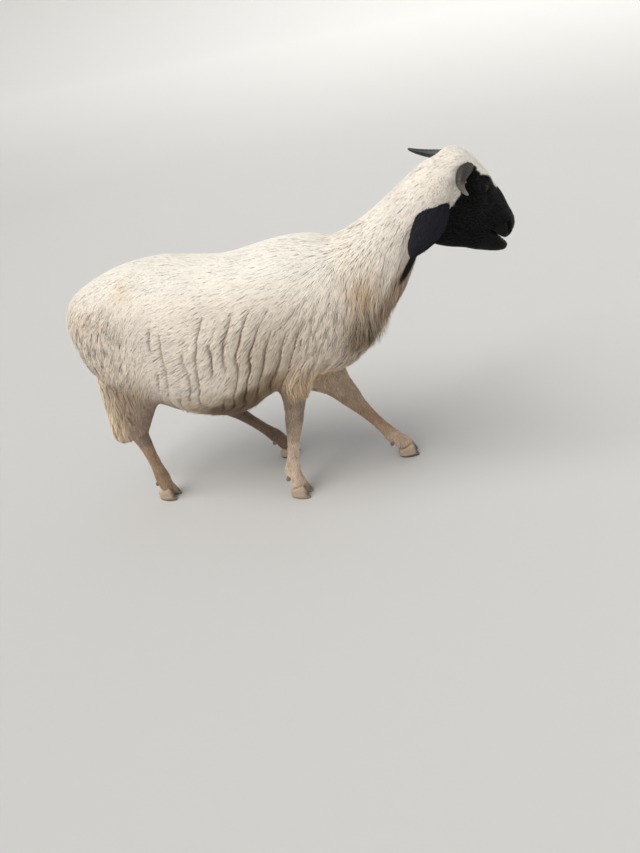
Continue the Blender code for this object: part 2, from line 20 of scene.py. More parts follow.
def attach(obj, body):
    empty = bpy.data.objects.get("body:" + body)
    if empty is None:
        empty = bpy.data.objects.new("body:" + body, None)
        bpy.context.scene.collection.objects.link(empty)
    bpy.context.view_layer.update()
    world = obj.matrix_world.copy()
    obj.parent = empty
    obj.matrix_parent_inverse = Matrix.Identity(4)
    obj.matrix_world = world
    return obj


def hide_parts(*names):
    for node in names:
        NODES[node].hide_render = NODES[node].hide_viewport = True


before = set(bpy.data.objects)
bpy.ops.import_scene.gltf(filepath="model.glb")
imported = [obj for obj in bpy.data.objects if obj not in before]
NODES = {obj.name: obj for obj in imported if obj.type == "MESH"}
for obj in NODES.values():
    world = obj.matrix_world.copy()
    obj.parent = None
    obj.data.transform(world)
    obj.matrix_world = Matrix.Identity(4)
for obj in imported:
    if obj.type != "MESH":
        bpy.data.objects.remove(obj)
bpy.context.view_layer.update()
RNG = np.random.default_rng(20)

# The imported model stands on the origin; the body's own sizes below are counted from this point of it.
BODY_ORIGIN = np.array((-0.0723, -0.0002, 0.0))

PARTS = ("head", "neck", "trunk", "tail", "leg")
FLESH = ("head", "neck", "trunk", "tail",
         "leg_front_left", "leg_front_right", "leg_hind_left", "leg_hind_right")
SKIN_VOXEL = 0.0046

HEAD_POLL = (0.508, 0.046, 0.775)
HEAD_YAW = math.radians(32.6)
HEAD_PITCH = math.radians(44.5)
HEAD_LEAN = math.radians(18.0)

# Eyes: the right one's place in the head's frame; the left one mirrors it. Iris and pupil are shares of the
# eyeball's radius, and do not reach further round it than their angle.
EYE_CENTRE = (0.079, -0.0445, 0.003)
EYE_AXIS = (0.26, -0.91, 0.32)
EYE_LEVEL = (0.95, 0.0, -0.22)
EYE_RADIUS = 0.0128
EYE_SUNK = 0.0048               # how much deeper the eyeball sits than the CAD's
IRIS_SHARE, IRIS_ANGLE = 0.66, 1.5
PUPIL_WIDTH, PUPIL_HEIGHT, PUPIL_ANGLE = 0.40, 0.17, 1.2
LID_HALF, LID_UPPER, LID_LOWER, LID_REACH = 0.0088, 0.0056, 0.0042, 0.0128
LID_WALL = 0.0010
CORNEA_RISE, CORNEA_ANGLE = 0.045, 0.42
# Height of the lid over the eyeball, from its edge to where it goes under the skin
LID_FOLDS = ((0.0, 0.0001), (0.05, 0.0009), (0.12, 0.0014), (0.22, 0.0015), (0.34, 0.0012),
             (0.42, 0.0007), (0.52, 0.0013), (0.75, 0.0012), (1.0, 0.0002))

# Ears: EAR_HANG has the direction of each ear and of its outer face
EAR_ROOT = (0.0145, -0.046, -0.0640)
EAR_LENGTH, EAR_WIDTH, EAR_THICKNESS = 0.146, 0.074, 0.0046
EAR_BEND, EAR_CUP = 0.012, 0.16
EAR_HANG = {
    1: ((-0.48, -0.59, -0.66), (0.20, -0.86, 0.46)),
    -1: ((-0.46, 0.52, -0.72), (0.10, 0.85, 0.50)),
}
# Width of the ear's rear half, as a share of the front half's, from its root to its tip
EAR_REAR = ((0.0, 1.50), (0.12, 1.30), (0.30, 0.94), (0.50, 0.78), (0.75, 0.80), (0.92, 1.0), (1.0, 1.15))

# Horns: root, two handles and tip of each horn's curve
HORN_CURVE = {
    1: ((0.026, -0.026, 0.006), (0.012, -0.055, 0.004), (-0.008, -0.084, -0.030), (0.038, -0.082, -0.027)),
    -1: ((0.026, -0.026, 0.004), (0.016, -0.055, 0.004), (-0.004, -0.078, -0.030), (-0.040, -0.108, -0.048)),
}
HORN_RADIUS, HORN_TIP, HORN_FLATNESS = 0.0150, 0.0018, 0.86
HORN_RINGS = 15

# Feet: place on the floor and heading in degrees. Of a foot's two claws, side 1 is the left one.
FEET = {
    "front_right": (0.066, -0.088, -4.0),
    "front_left": (0.342, 0.090, 12.0),
    "hind_right": (-0.327, -0.085, -6.0),
    "hind_left": (-0.012, 0.106, 6.0),
}
PASTERNS = {                    # middle of the fetlock and of the coronet of each foot
    "front_right": ((0.053, -0.084, 0.076), (0.064, -0.088, 0.030)),
    "front_left": ((0.306, 0.080, 0.066), (0.336, 0.088, 0.030)),
    "hind_right": ((-0.328, -0.090, 0.070), (-0.330, -0.085, 0.030)),
    "hind_left": ((-0.036, 0.092, 0.074), (-0.016, 0.104, 0.032)),
}
CLAW_LENGTH, CLAW_WIDTH = 0.056, 0.0225
CLAW_TOE_HEIGHT, CLAW_HEEL_HEIGHT = 0.040, 0.020
CLAW_TOP_SHARE = 0.66           # length of the claw's top over the length of its sole
CLAW_SPREAD = math.radians(5.0)
CLAW_SPLIT = 0.0042
DEWCLAW_LENGTH, DEWCLAW_RADIUS = 0.020, 0.0070

# Round plugs that fill the sockets which the CAD solids have for horns, eyes, ears and claws
HEAD_PLUGS = (
    ((0.024, 0.022, -0.004), 0.022),
    ((EYE_CENTRE[0], -0.80 * EYE_CENTRE[1], EYE_CENTRE[2] - 0.002), 0.016),
    ((0.018, 0.036, -0.060), 0.018),
)
FOOT_PLUG_BACK, FOOT_PLUG_HEIGHT, FOOT_PLUG_RADIUS = 0.006, 0.040, 0.018

# Colours
CREAM = np.array((0.880, 0.795, 0.695))
WHITE = np.array((0.925, 0.885, 0.805))
TAN = np.array((0.680, 0.490, 0.300))
SOILED = np.array((0.330, 0.245, 0.165))
# dark brown of the belly's edge behind the elbow, with painted shade under the body in it
BELLY_BROWN_AND_SHADE = np.array((0.200, 0.134, 0.084))
THROAT = np.array((0.400, 0.290, 0.205))
GREY = np.array((0.360, 0.325, 0.280))
LEG = np.array((0.360, 0.275, 0.215))
LEG_LIGHT = np.array((0.730, 0.575, 0.445))
LEG_BROWN = np.array((0.475, 0.325, 0.215))
# the legs' hair lightened with painted light, for the far foreleg where the body shades it
LEG_PAINTED_LIGHT = np.array((0.580, 0.445, 0.330))
LEG_DARK = np.array((0.250, 0.172, 0.125))
THIGH = np.array((0.400, 0.285, 0.190))
TAIL = np.array((0.940, 0.800, 0.600))
TAIL_TIP = np.array((0.780, 0.610, 0.420))
STAIN = np.array((0.780, 0.600, 0.420))
BLACK = np.array((0.0020, 0.0019, 0.0022))
RIBS_PAINTED_SHADE = np.array((0.800, 0.770, 0.730))    # what is left of the colour on the lower front ribs: painted shade
GROOVE_SHADE = np.array((0.290, 0.225, 0.165))        # what is left of the colour at the bottom of a groove: painted shade
ELBOW_WARMTH = np.array((1.08, 1.02, 0.94))
EAR_BLACK = np.array((0.0165, 0.0160, 0.0220))
EAR_INSIDE = np.array((0.020, 0.016, 0.017))
IRIS = np.array((0.028, 0.012, 0.005))
SCLERA = np.array((0.012, 0.008, 0.007))
PUPIL = np.array((0.002, 0.002, 0.003))
LID_RIM_PALER = 0.006           # added to the lid's black at its edges
CLAW_PALE = np.array((0.470, 0.365, 0.265))
CLAW_TOP = np.array((0.560, 0.420, 0.310))
CLAW_DARK = np.array((0.085, 0.066, 0.052))
DEWCLAW = np.array((0.240, 0.180, 0.135))
CLAW_DARKNESS = {"front_right": 0.85, "front_left": 1.0, "hind_right": 0.80, "hind_left": 0.90}
# how dark the bottom of each claw is painted: painted shade near the floor
SOLE_PAINTED_SHADE = {"front_right": 0.45, "front_left": 0.95, "hind_right": 0.75, "hind_left": 0.90}
PALEST = 0.94                   # no channel of the coat's colour goes over this
FLOOR_PAINT = (0.60, 0.597, 0.590, 1)

# Soft round patches of the coat seen from the side: x and z of the middle, half width and half height
PATCHES = {
    "ruff": (0.338, 0.482, 0.042, 0.046),
    "brisket": (0.295, 0.480, 0.060, 0.085),
    "tan brisket": (0.305, 0.530, 0.045, 0.055),
    "low chest": (0.295, 0.422, 0.058, 0.066),
    "shoulder": (0.205, 0.495, 0.060, 0.085),
    "elbow": (0.140, 0.368, 0.055, 0.034),
    "tan elbow": (0.150, 0.360, 0.085, 0.050),
    "ribs": (0.080, 0.425, 0.100, 0.100),
    "rump stain": (-0.255, 0.615, 0.030, 0.025),
    "thigh": (-0.335, 0.500, 0.075, 0.085),
    "hock": (-0.356, 0.282, 0.038, 0.032),
    "rump": (-0.430, 0.520, 0.050, 0.090),
}

# Where the coat turns short and smooth, from below to above: on the back, and on the neck towards the head
BACK_HEIGHTS = (0.50, 0.60)
NAPE_HEIGHTS = (0.60, 0.72)
NAPE_SHORT_HEIGHTS = (0.62, 0.72)
THROAT_RADII = ((0.32, 0.107), (0.38, 0.066), (0.434, 0.050), (0.48, 0.056))    # of the neck, at x

# Edge of the black face: degrees round the head from the forehead, and how far ahead of the poll the edge is
FACE_EDGE = ((0, 0.103), (10, 0.101), (22, 0.086), (34, 0.066), (45, 0.047), (56, 0.035), (70, 0.032),
             (86, 0.036), (100, 0.041), (118, 0.043), (135, 0.042), (152, 0.030), (180, 0.020))
FACE_AXIS = 0.035               # how deep under the poll the line is that those degrees turn round
BLAZE = ((0.060, 0.034), (0.085, 0.025), (0.105, 0.019), (0.122, 0.012), (0.133, -0.004))   # half width at x
BLAZE_MIDDLE = -0.006
HORN_FOOT = (0.038, 0.041, 0.003)
HORN_RING_RADII = (0.0215, 0.0175)      # the ring of black hair round a horn's foot fades out between these

# Rows in which the hair of the ribs ends: grooves that run down the flank, darkened with painted shade
GROOVE_SPACING = 0.0290
GROOVE_DEPTH = 0.0036
GROOVE_THINNING = 0.72          # how much of the coat's depth is lost at the bottom of a groove
ROW_STOP = 0.25                 # a lock stops at the end of a row that shows more than this

# Depth of the coat, and length and width of the wool's locks, on each part of the body
COAT_DEPTH = {"trunk": 0.0054, "neck": 0.0052, "tail": 0.0090, "leg": 0.0058, "head": 0.0016}
SHORT_DEPTH = 0.0016
WOOL_LENGTH = {"trunk": 0.031, "neck": 0.034, "tail": 0.046, "leg": 0.028, "head": 0.012}
WOOL_WIDTH = {"trunk": 0.0026, "neck": 0.0027, "tail": 0.0028, "leg": 0.0024, "head": 0.0015}

# Traits of the wool: what holds for all of it, and what each kind of place adds
ADDED_LENGTH = {"brisket": 0.008, "ruff": 0.018, "elbow": 0.026, "under": 0.012}
CLUMP_PULL = {"all": 0.30, "smooth": -0.20, "neck": 0.10, "brisket": 0.40, "elbow": 0.40, "tail": 0.05,
              "under": 0.30, "thigh": 0.22, "shoulder": 0.40}
STRONGEST_PULL = 0.85
VALLEY_DEPTH = {"all": 0.45, "shoulder": 0.20, "thigh": 0.15}
VALLEY_SHADE = {"all": 0.20, "shoulder": 0.28, "thigh": 0.15, "brisket": 0.15}
VALLEY_REACH = 0.010            # a lock this far from the middle of its clump lies in a valley
WAVER = {"all": 0.0005, "thigh": 0.0014, "brisket": 0.0034, "elbow": 0.0012, "under": 0.0008}
LIE_SPREAD = {"all": 0.13, "smooth": -0.05}
STRAY_CHANCE = {"all": 0.05, "smooth": -0.035, "under": 0.10, "rump": 0.15}
STRAY_LIFT = (0.001, 0.007)     # how far the tips of stray locks stand out
LIFTED_TIP = {"elbow": 0.011, "under": 0.003, "ruff": 0.026}
TONE_SPREAD = {"all": 0.045, "smooth": -0.025, "brisket": 0.03, "under": 0.03}

# Height of a lock over the skin along its length, as a share of the coat's depth there
WOOL_RISE = ((0.0, 0.40), (0.3, 0.82), (0.6, 0.98), (1.0, 0.95))
SLEEK_RISE = ((0.0, 0.60), (0.3, 0.92), (0.6, 1.0), (1.0, 0.98))
HAIR_RISE = ((0.0, -0.10), (0.5, 0.70), (1.0, 1.0))
WOOL_TAPER, HAIR_TAPER = (0.7, 1.0, 0.6), (0.7, 1.0)
WOOL_TONES, HAIR_TONES = (0.97, 1.0, 1.015, 1.03), (0.80, 0.98, 1.10)     # from root to tip

WOOL_COVER = 3.3                # how many locks deep the wool is
LOCK_FILL = 0.62                # area of a tapering lock over its length times its width
SHORTEST_COUNTED = 0.007        # locks shorter than this are not sown any denser
CLUMP_LOCKS = 40.0              # locks to a clump
EDGE_CLEAR = 0.006              # no lock starts closer than this to the end of its row
EAR_BASE = (0.012, 0.050, -0.058)
BY_EAR = (0.055, 0.030)         # the wool turns short between these distances from the ear's base
PIECE_TRIANGLES = 190000
BAKE_PATCH = 0.003              # size of a lock's patch on the map OFBake

# Relief of the head's sides: x and z of the middle, reach along x and along z, rise out of the skin
HEAD_RELIEF = (
    (EYE_CENTRE[0] - 0.002, EYE_CENTRE[2] + 0.0155, 0.020, 0.0075, 0.0042),     # brow
    (EYE_CENTRE[0] + 0.006, EYE_CENTRE[2] - 0.019, 0.020, 0.006, 0.0018),       # fold under the eye
    (EYE_CENTRE[0] + 0.024, EYE_CENTRE[2] - 0.012, 0.011, 0.006, -0.0028),      # tear groove
    (0.150, -0.040, 0.035, 0.016, -0.0030),                                     # hollow ahead of the cheek
    (0.088, -0.036, 0.040, 0.011, 0.0022),                                      # cheekbone
)
# What fills the muzzle out: where it begins and is full along z and along x, and how far it goes
MUZZLE_MOVES = (
    ((-0.056, -0.068), (0.165, 0.235), (0.0, 0.0, 0.0050)),         # lower lip
    ((-0.056, -0.068), (0.215, 0.260), (-0.0010, 0.0, 0.0040)),     # tip of the lower lip
    ((-0.040, -0.020), (0.180, 0.210), (0.0010, 0.0, 0.0035)),      # bridge of the nose
)
LIP_HANG, CHIN_DROP = 0.0055, 0.0045
LIP_GAP_HEIGHT, LIP_GAP_HALF, LIP_GAP_DEPTH = -0.0570, 0.0045, 0.0190

# The way the hair lies on the animal's right side, which the left side mirrors: x, y and z of a place, then
# x and z of the way
LIE = (
    # back and rump
    (0.24, 0.00, 0.66, -1.00, -0.10), (0.10, 0.00, 0.66, -1.00, 0.00), (-0.06, 0.00, 0.65, -1.00, 0.00),
    (-0.22, 0.00, 0.66, -1.00, -0.10), (-0.38, 0.00, 0.62, -1.00, -0.60), (-0.45, -0.05, 0.52, -0.20, -1.00),
    # upper flank
    (0.15, -0.12, 0.60, -1.00, -0.15), (0.02, -0.13, 0.59, -1.00, -0.25), (-0.12, -0.13, 0.60, -0.90, -0.55),
    (-0.24, -0.13, 0.61, -0.60, -0.80), (-0.34, -0.11, 0.59, -0.50, -1.00),
    # ribs, from above to below
    (0.14, -0.14, 0.53, -0.80, -0.65), (0.05, -0.16, 0.52, -0.75, -0.75), (-0.05, -0.17, 0.52, -0.80, -0.60),
    (-0.15, -0.17, 0.52, -1.00, -0.15), (0.10, -0.15, 0.44, -0.60, -0.85), (0.00, -0.18, 0.43, -0.65, -0.80),
    (-0.10, -0.18, 0.43, -0.80, -0.60), (-0.19, -0.17, 0.43, -1.00, -0.30), (0.06, -0.15, 0.35, -0.60, -0.85),
    (-0.05, -0.16, 0.33, -0.70, -0.70), (-0.16, -0.15, 0.34, -0.90, -0.50),
    # belly
    (0.00, -0.06, 0.27, -1.00, -0.20), (-0.12, -0.06, 0.25, -1.00, -0.10),
    # thigh
    (-0.28, -0.14, 0.50, -0.25, -1.00), (-0.36, -0.13, 0.46, -0.15, -1.00),
    (-0.30, -0.14, 0.40, -0.45, -1.00), (-0.38, -0.11, 0.36, -0.10, -1.00),
    (-0.30, -0.11, 0.28, -0.30, -1.00),
    # shoulder
    (0.20, -0.12, 0.60, -0.60, -0.80), (0.22, -0.13, 0.52, -0.20, -1.00), (0.19, -0.13, 0.45, -0.35, -1.00),
    (0.26, -0.11, 0.45, -0.15, -1.00),
    # brisket
    (0.28, -0.09, 0.55, -0.35, -1.00), (0.32, 0.00, 0.50, -0.30, -1.00), (0.28, 0.00, 0.40, -0.80, -0.70),
    # elbow
    (0.17, -0.12, 0.38, -0.80, -0.70), (0.22, -0.10, 0.39, -0.70, -0.80), (0.12, -0.13, 0.37, -0.75, -0.75),
    (0.15, 0.00, 0.30, -1.00, -0.10),
    # neck
    (0.30, 0.00, 0.68, -0.80, -0.60), (0.34, -0.08, 0.62, -0.55, -0.85), (0.38, -0.05, 0.56, -0.45, -0.90),
    (0.40, -0.06, 0.66, -0.60, -0.80), (0.42, 0.02, 0.76, -0.80, -0.60), (0.44, -0.04, 0.72, -0.70, -0.75),
    (0.42, 0.00, 0.60, -0.55, -0.85), (0.48, 0.03, 0.79, -0.90, -0.35),
)
LIE_REACH = 0.050
LIE_ON_LEG = np.array((0.0, 0.0, -1.0))
LIE_ON_TAIL = np.array((0.05, 0.0, -1.0))
LIE_ON_HEAD = np.array((-1.0, 0.0, -0.25))      # in the head's frame

# Floor: radius and height of the bowl's rings, whose rim is far outside the picture
FLOOR_PROFILE = ((5.0, 0.0), (6.5, 0.04), (8.0, 0.35), (9.2, 1.1), (10.0, 2.4), (10.4, 4.2), (10.6, 7.0))
FLOOR_SEGMENTS = 96

# Light and camera
SKY_COLOUR, SKY_STRENGTH = (0.97, 0.985, 1.0, 1), 0.48
SUN_COLOUR, SUN_STRENGTH, SUN_WIDTH = (1.0, 0.975, 0.93), 2.25, math.radians(48)
SUN_FROM = (-0.64, -0.58, 1.20)
CAMERA_PLACE = (0.5425, -1.4092, 1.0412)
CAMERA_AZIMUTH, CAMERA_ELEVATION, CAMERA_ROLL = 0.28858, 0.54132, 0.19942
CAMERA_LENS, CAMERA_SENSOR = 27.01, 36.0


# ----------------------------------------------------------------------------------------------------
# Numbers

def smoothstep(low, high, value):
    t = np.clip((value - low) / (high - low), 0.0, 1.0)
    return t * t * (3 - 2 * t)


def noise(points, scale, seed):
    """Smooth noise from -1 to 1 at each point, with lumps about scale across."""
    q = np.asarray(points, dtype=np.float64) / scale + seed * 17.31
    cell = np.floor(q).astype(np.int64)
    f = q - cell
    f = f * f * (3 - 2 * f)
    total = np.zeros(len(q))
    for corner in itertools.product((0, 1), repeat=3):
        weight = np.where(corner, f, 1 - f).prod(axis=1)
        x, y, z = (cell + corner).T
        h = ((x * 73856093) ^ (y * 19349663) ^ (z * 83492791) ^ (seed * 2654435761)) & 0xFFFFFFFF
        h = ((h ^ (h >> 15)) * 2246822519) & 0xFFFFFFFF
        h = ((h ^ (h >> 13)) * 3266489917) & 0xFFFFFFFF
        total += weight * ((h ^ (h >> 16)) / 2147483648.0 - 1.0)
    return total


def unit(vectors):
    return vectors / np.maximum(np.linalg.norm(vectors, axis=1, keepdims=True), 1e-12)


def direction(vector):
    vector = np.asarray(vector)
    return vector / np.linalg.norm(vector)


def laid_along(vectors, normals):
    """The vectors turned into the surface with these normals, at length 1."""
    return unit(vectors - normals * (vectors * normals).sum(axis=1, keepdims=True))


def mix(a, b, weight):
    weight = np.asarray(weight)[:, None]
    return a * (1 - weight) + b * weight


def shared(weights, values):
    """The values of parts or kinds, summed by how much of each of them a place is."""
    return sum(weights[name] * value for name, value in values.items())


def profile(place, stations):
    """The value at a place between stations, each of which is a place and its value."""
    return np.interp(place, *zip(*stations))


def full_turn(count):
    return np.arange(count) * 2 * math.pi / count


def mirrored(place, side):
    return np.array((place[0], place[1] * side, place[2]))


def head_matrix():
    """The head's own frame (x to the nose, y left, z out of the forehead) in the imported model's."""
    cy, sy = math.cos(HEAD_YAW), math.sin(HEAD_YAW)
    cp, sp = math.cos(HEAD_PITCH), math.sin(HEAD_PITCH)
    cl, sl = math.cos(HEAD_LEAN), math.sin(HEAD_LEAN)
    forward = Vector((cy * cp, sy * cp, -sp))
    left = Vector((-sy, cy, 0.0))
    crown = forward.cross(left)
    turned = Matrix((forward, left * cl + crown * sl, crown * cl - left * sl)).transposed()
    return Matrix.Translation(Vector(HEAD_POLL) + Vector(BODY_ORIGIN)) @ turned.to_4x4()


HEAD = head_matrix()
HEAD_AXES = np.array(HEAD.to_3x3())
HEAD_AT = np.array(HEAD.translation)


def to_head(points):
    return (points - HEAD_AT) @ HEAD_AXES


def from_head(points):
    return np.asarray(points) @ HEAD_AXES.T + HEAD_AT


# ----------------------------------------------------------------------------------------------------
# Meshes

def mesh_arrays(data):
    """Points and normals of a mesh's vertices."""
    count = len(data.vertices)
    points = np.empty(count * 3)
    data.vertices.foreach_get("co", points)
    normals = np.empty(count * 3)
    data.vertex_normals.foreach_get("vector", normals)
    return points.reshape(-1, 3), normals.reshape(-1, 3)


def set_points(data, points):
    data.vertices.foreach_set("co", np.ascontiguousarray(points, dtype=np.float32).ravel())
    data.update()


def edges_of(data):
    pairs = np.empty(len(data.edges) * 2, dtype=np.int64)
    data.edges.foreach_get("vertices", pairs)
    return pairs.reshape(-1, 2)


def averaged(values, pairs, rounds, shares=(0.5,)):
    """Values at the vertices, drawn towards their neighbours' mean by each share in turn."""
    count = len(values)
    degree = np.bincount(pairs.ravel(), minlength=count).astype(float)
    flat = values.reshape(count, -1).copy()
    for step in range(rounds):
        share = shares[step % len(shares)]
        for column in range(flat.shape[1]):
            total = np.bincount(pairs[:, 0], flat[pairs[:, 1], column], count)
            total += np.bincount(pairs[:, 1], flat[pairs[:, 0], column], count)
            flat[:, column] += share * (total / np.maximum(degree, 1) - flat[:, column])
    return flat.reshape(values.shape)


def add_piece(name, data, material):
    thing = bpy.data.objects.new(name, data)
    bpy.context.scene.collection.objects.link(thing)
    data.materials.clear()
    data.materials.append(material)
    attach(thing, "root")
    return thing


def add_stand_in(name, data, material):
    """A piece that takes the place of the CAD node of the same name."""
    thing = add_piece(name, data, material)
    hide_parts(name)
    return thing


def settled(thing):
    """The thing's mesh with its modifiers applied."""
    bpy.context.view_layer.update()
    data = bpy.data.meshes.new_from_object(thing.evaluated_get(bpy.context.evaluated_depsgraph_get()))
    thing.modifiers.clear()
    thing.data = data
    return data


def store(data, name, values):
    """A colour or a number at every vertex, for the material to read."""
    values = np.asarray(values, dtype=np.float32)
    if values.ndim == 1:
        data.attributes.new(name, "FLOAT", "POINT").data.foreach_set("value", values)
    else:
        rgba = np.ones((len(values), 4), dtype=np.float32)
        rgba[:, :3] = values
        data.attributes.new(name, "FLOAT_COLOR", "POINT").data.foreach_set("color", rgba.ravel())


def unwrap(thing):
    bpy.context.view_layer.objects.active = thing
    thing.select_set(True)
    bpy.ops.object.mode_set(mode="EDIT")
    bpy.ops.mesh.select_all(action="SELECT")
    bpy.ops.uv.smart_project(angle_limit=math.radians(66), island_margin=0.0015)
    bpy.ops.object.mode_set(mode="OBJECT")
    thing.select_set(False)


def face_mesh(name, points, faces):
    """A smooth-shaded mesh with its faces turned outward."""
    data = bpy.data.meshes.new(name)
    data.from_pydata(points.tolist(), [], faces)
    mesh = bmesh.new()
    mesh.from_mesh(data)
    bmesh.ops.recalc_face_normals(mesh, faces=mesh.faces)
    mesh.to_mesh(data)
    mesh.free()
    data.shade_smooth()
    return data


def band(low, high, around):
    """Faces between two rings of points that start at low and at high."""
    return [(low + k, low + (k + 1) % around, high + (k + 1) % around, high + k) for k in range(around)]


def ring_mesh(name, rings):
    """A closed mesh through a list of rings of points, with a pole at the middle of each end."""
    around = len(rings[0])
    starts = [i * around for i in range(len(rings))]
    faces = []
    for low, high in zip(starts, starts[1:]):
        faces += band(low, high, around)
    pole = len(rings) * around
    for start in (starts[0], starts[-1]):
        faces += [(start + k, start + (k + 1) % around, pole) for k in range(around)]
        pole += 1
    poles = [ring.mean(axis=0) for ring in (rings[0], rings[-1])]
    return face_mesh(name, np.vstack([*rings, *poles]), faces)


# ----------------------------------------------------------------------------------------------------
# Materials

def new_material(name):
    material = bpy.data.materials.new(name)
    material.use_nodes = True
    tree = material.node_tree
    return material, tree, tree.nodes["Principled BSDF"]


def texture_place(tree):
    return tree.nodes.new("ShaderNodeTexCoord").outputs["Object"]


def noise_node(tree, scale, detail):
    node = tree.nodes.new("ShaderNodeTexNoise")
    node.inputs["Scale"].default_value = scale
    node.inputs["Detail"].default_value = detail
    tree.links.new(texture_place(tree), node.inputs["Vector"])
    return node.outputs["Fac"]


def stored(tree, name):
    """The node that reads what store() put on the mesh."""
    node = tree.nodes.new("ShaderNodeAttribute")
    node.attribute_name = name
    return node


def ranged(tree, value, low, high):
    node = tree.nodes.new("ShaderNodeMapRange")
    node.inputs["To Min"].default_value = low
    node.inputs["To Max"].default_value = high
    tree.links.new(value, node.inputs["Value"])
    return node.outputs["Result"]


def times(tree, colour, factor):
    node = tree.nodes.new("ShaderNodeVectorMath")
    node.operation = "SCALE"
    tree.links.new(colour, node.inputs[0])
    tree.links.new(factor, node.inputs["Scale"])
    return node.outputs["Vector"]


def bumped(tree, shader, height, strength, distance):
    node = tree.nodes.new("ShaderNodeBump")
    node.inputs["Strength"].default_value = strength
    node.inputs["Distance"].default_value = distance
    tree.links.new(height, node.inputs["Height"])
    tree.links.new(node.outputs["Normal"], shader.inputs["Normal"])


def hair_material(name, grain, bump_distance, roughness_range, specular=0.20, sheen=0.08, vary=0.08):
    """Hair, skin or hoof whose colour is stored on the mesh, with fine variation over it."""
    material, tree, shader = new_material(name)
    fine = noise_node(tree, grain, 4.0)
    fleck = ranged(tree, fine, 1 - vary, 1 + vary)
    colour = stored(tree, "coat_colour").outputs["Color"]
    tree.links.new(times(tree, colour, fleck), shader.inputs["Base Color"])
    tree.links.new(ranged(tree, fine, *roughness_range), shader.inputs["Roughness"])
    shader.inputs["Specular IOR Level"].default_value = specular
    shader.inputs["Sheen Weight"].default_value = sheen
    shader.inputs["Sheen Roughness"].default_value = 0.5
    if bump_distance:
        bumped(tree, shader, noise_node(tree, grain * 2.2, 5.0), 0.7, bump_distance)
    return material


def horn_material(name, near, far, turn, grain=120.0):
    """Horn that goes from one colour to another along the stored share of its length."""
    material, tree, shader = new_material(name)
    ramp = tree.nodes.new("ShaderNodeValToRGB")
    ramp.color_ramp.elements[0].color = (*near, 1)
    ramp.color_ramp.elements[1].color = (*far, 1)
    ramp.color_ramp.elements[0].position = max(0.0, turn - 0.15)
    ramp.color_ramp.elements[1].position = min(1.0, turn + 0.15)
    tree.links.new(stored(tree, "along").outputs["Fac"], ramp.inputs["Fac"])
    streaks = noise_node(tree, grain, 5.0)
    streaked = times(tree, ramp.outputs["Color"], ranged(tree, streaks, 0.55, 1.45))
    tree.links.new(streaked, shader.inputs["Base Color"])
    tree.links.new(ranged(tree, streaks, 0.36, 0.62), shader.inputs["Roughness"])
    bumped(tree, shader, noise_node(tree, grain * 3, 4.0), 0.5, 0.0006)
    return material


def eye_material():
    material = hair_material("eye_wet", 900.0, 0.0, (0.10, 0.18), 0.18, 0.0)
    shader = material.node_tree.nodes["Principled BSDF"]
    shader.inputs["Coat Weight"].default_value = 0.05
    shader.inputs["Coat Roughness"].default_value = 0.05
    return material


SKIN = hair_material("skin_hair", 420.0, 0.0008, (0.62, 0.85))
WOOL = hair_material("wool", 260.0, 0.0, (0.70, 0.90))
BLACK_HAIR = hair_material("black_hair", 500.0, 0.0, (0.50, 0.70), 0.04, 0.0)
EYE_WET = eye_material()
EAR_SKIN = hair_material("ear_skin", 500.0, 0.0004, (0.45, 0.65), 0.15, 0.0)
HORNS = {
    1: horn_material("horn_right", (0.024, 0.020, 0.017), (0.270, 0.240, 0.200), 0.78),
    -1: horn_material("horn_left", (0.090, 0.088, 0.092), (0.020, 0.020, 0.022), 0.55),
}
HOOF = hair_material("hoof", 160.0, 0.0006, (0.36, 0.62), 0.30, 0.0, 0.35)


# ----------------------------------------------------------------------------------------------------
# The coat's lie, rows, markings and colours, as functions of places counted from BODY_ORIGIN

def lie_of_coat(places, weights):
    """Directions in which the hair lies, before they are laid along the skin."""
    right = places.copy()
    right[:, 1] = -np.abs(right[:, 1])
    total = np.zeros_like(places)
    for x, y, z, way_x, way_z in LIE:
        near = np.exp(-((right - (x, y, z)) ** 2).sum(axis=1) / (2 * LIE_REACH ** 2)) + 1e-9
        total += np.outer(near, (way_x, 0.0, way_z))
    lie = mix(unit(total), LIE_ON_LEG, weights["leg"] * smoothstep(0.40, 0.30, places[:, 2]))
    lie = mix(lie, LIE_ON_TAIL, weights["tail"])
    return mix(lie, HEAD_AXES @ LIE_ON_HEAD, weights["head"])


def rib_rows(places):
    """Share of the way across its row from the groove forward, the row's number, how strongly it shows."""
    x, y, z = places.T
    flank = np.column_stack([x, np.abs(y), z])
    warp = 0.016 * noise(flank, 0.110, 3) + 0.005 * noise(flank, 0.036, 4)
    warp += 0.003 * np.sin(z * 2 * math.pi / 0.15)
    lean = 0.20 + 0.22 * smoothstep(-0.16, 0.06, x)
    row = (x - lean * (z - 0.42) + warp) / GROOVE_SPACING
    number = np.floor(row)
    broken = noise(np.column_stack([number * 0.31, np.abs(y) * 0.2, z * 1.15]), 0.080, 8)
    area = smoothstep(-0.25, -0.17, x) * smoothstep(0.23, 0.15, x)
    area *= 0.66 + 0.34 * smoothstep(-0.14, 0.0, x)
    area *= smoothstep(0.290, 0.34, z) * smoothstep(0.595, 0.470, z)
    return row - number, number, np.clip(0.62 + 1.5 * broken, 0.0, 1.0) * area


def past_row_end(row, points):
    """Whether points lie past the end of the row of this number."""
    _, number, strength = rib_rows(points - BODY_ORIGIN)
    return (number < row) & (strength > ROW_STOP)


def row_height(share):
    """Height of the coat across a row: a sharp edge of tips behind, falling off forward."""
    return smoothstep(0.0, 0.11, share) * (1 - 0.42 * smoothstep(0.25, 1.0, share))


def row_shadow(share):
    """1 in the groove behind a row's edge of tips, 0 on the row, with a soft shade towards the next row."""
    lit = smoothstep(0.0, 0.12, share) * smoothstep(1.0, 0.80, share)
    return 1 - lit * (1 - 0.22 * smoothstep(0.30, 0.90, share))


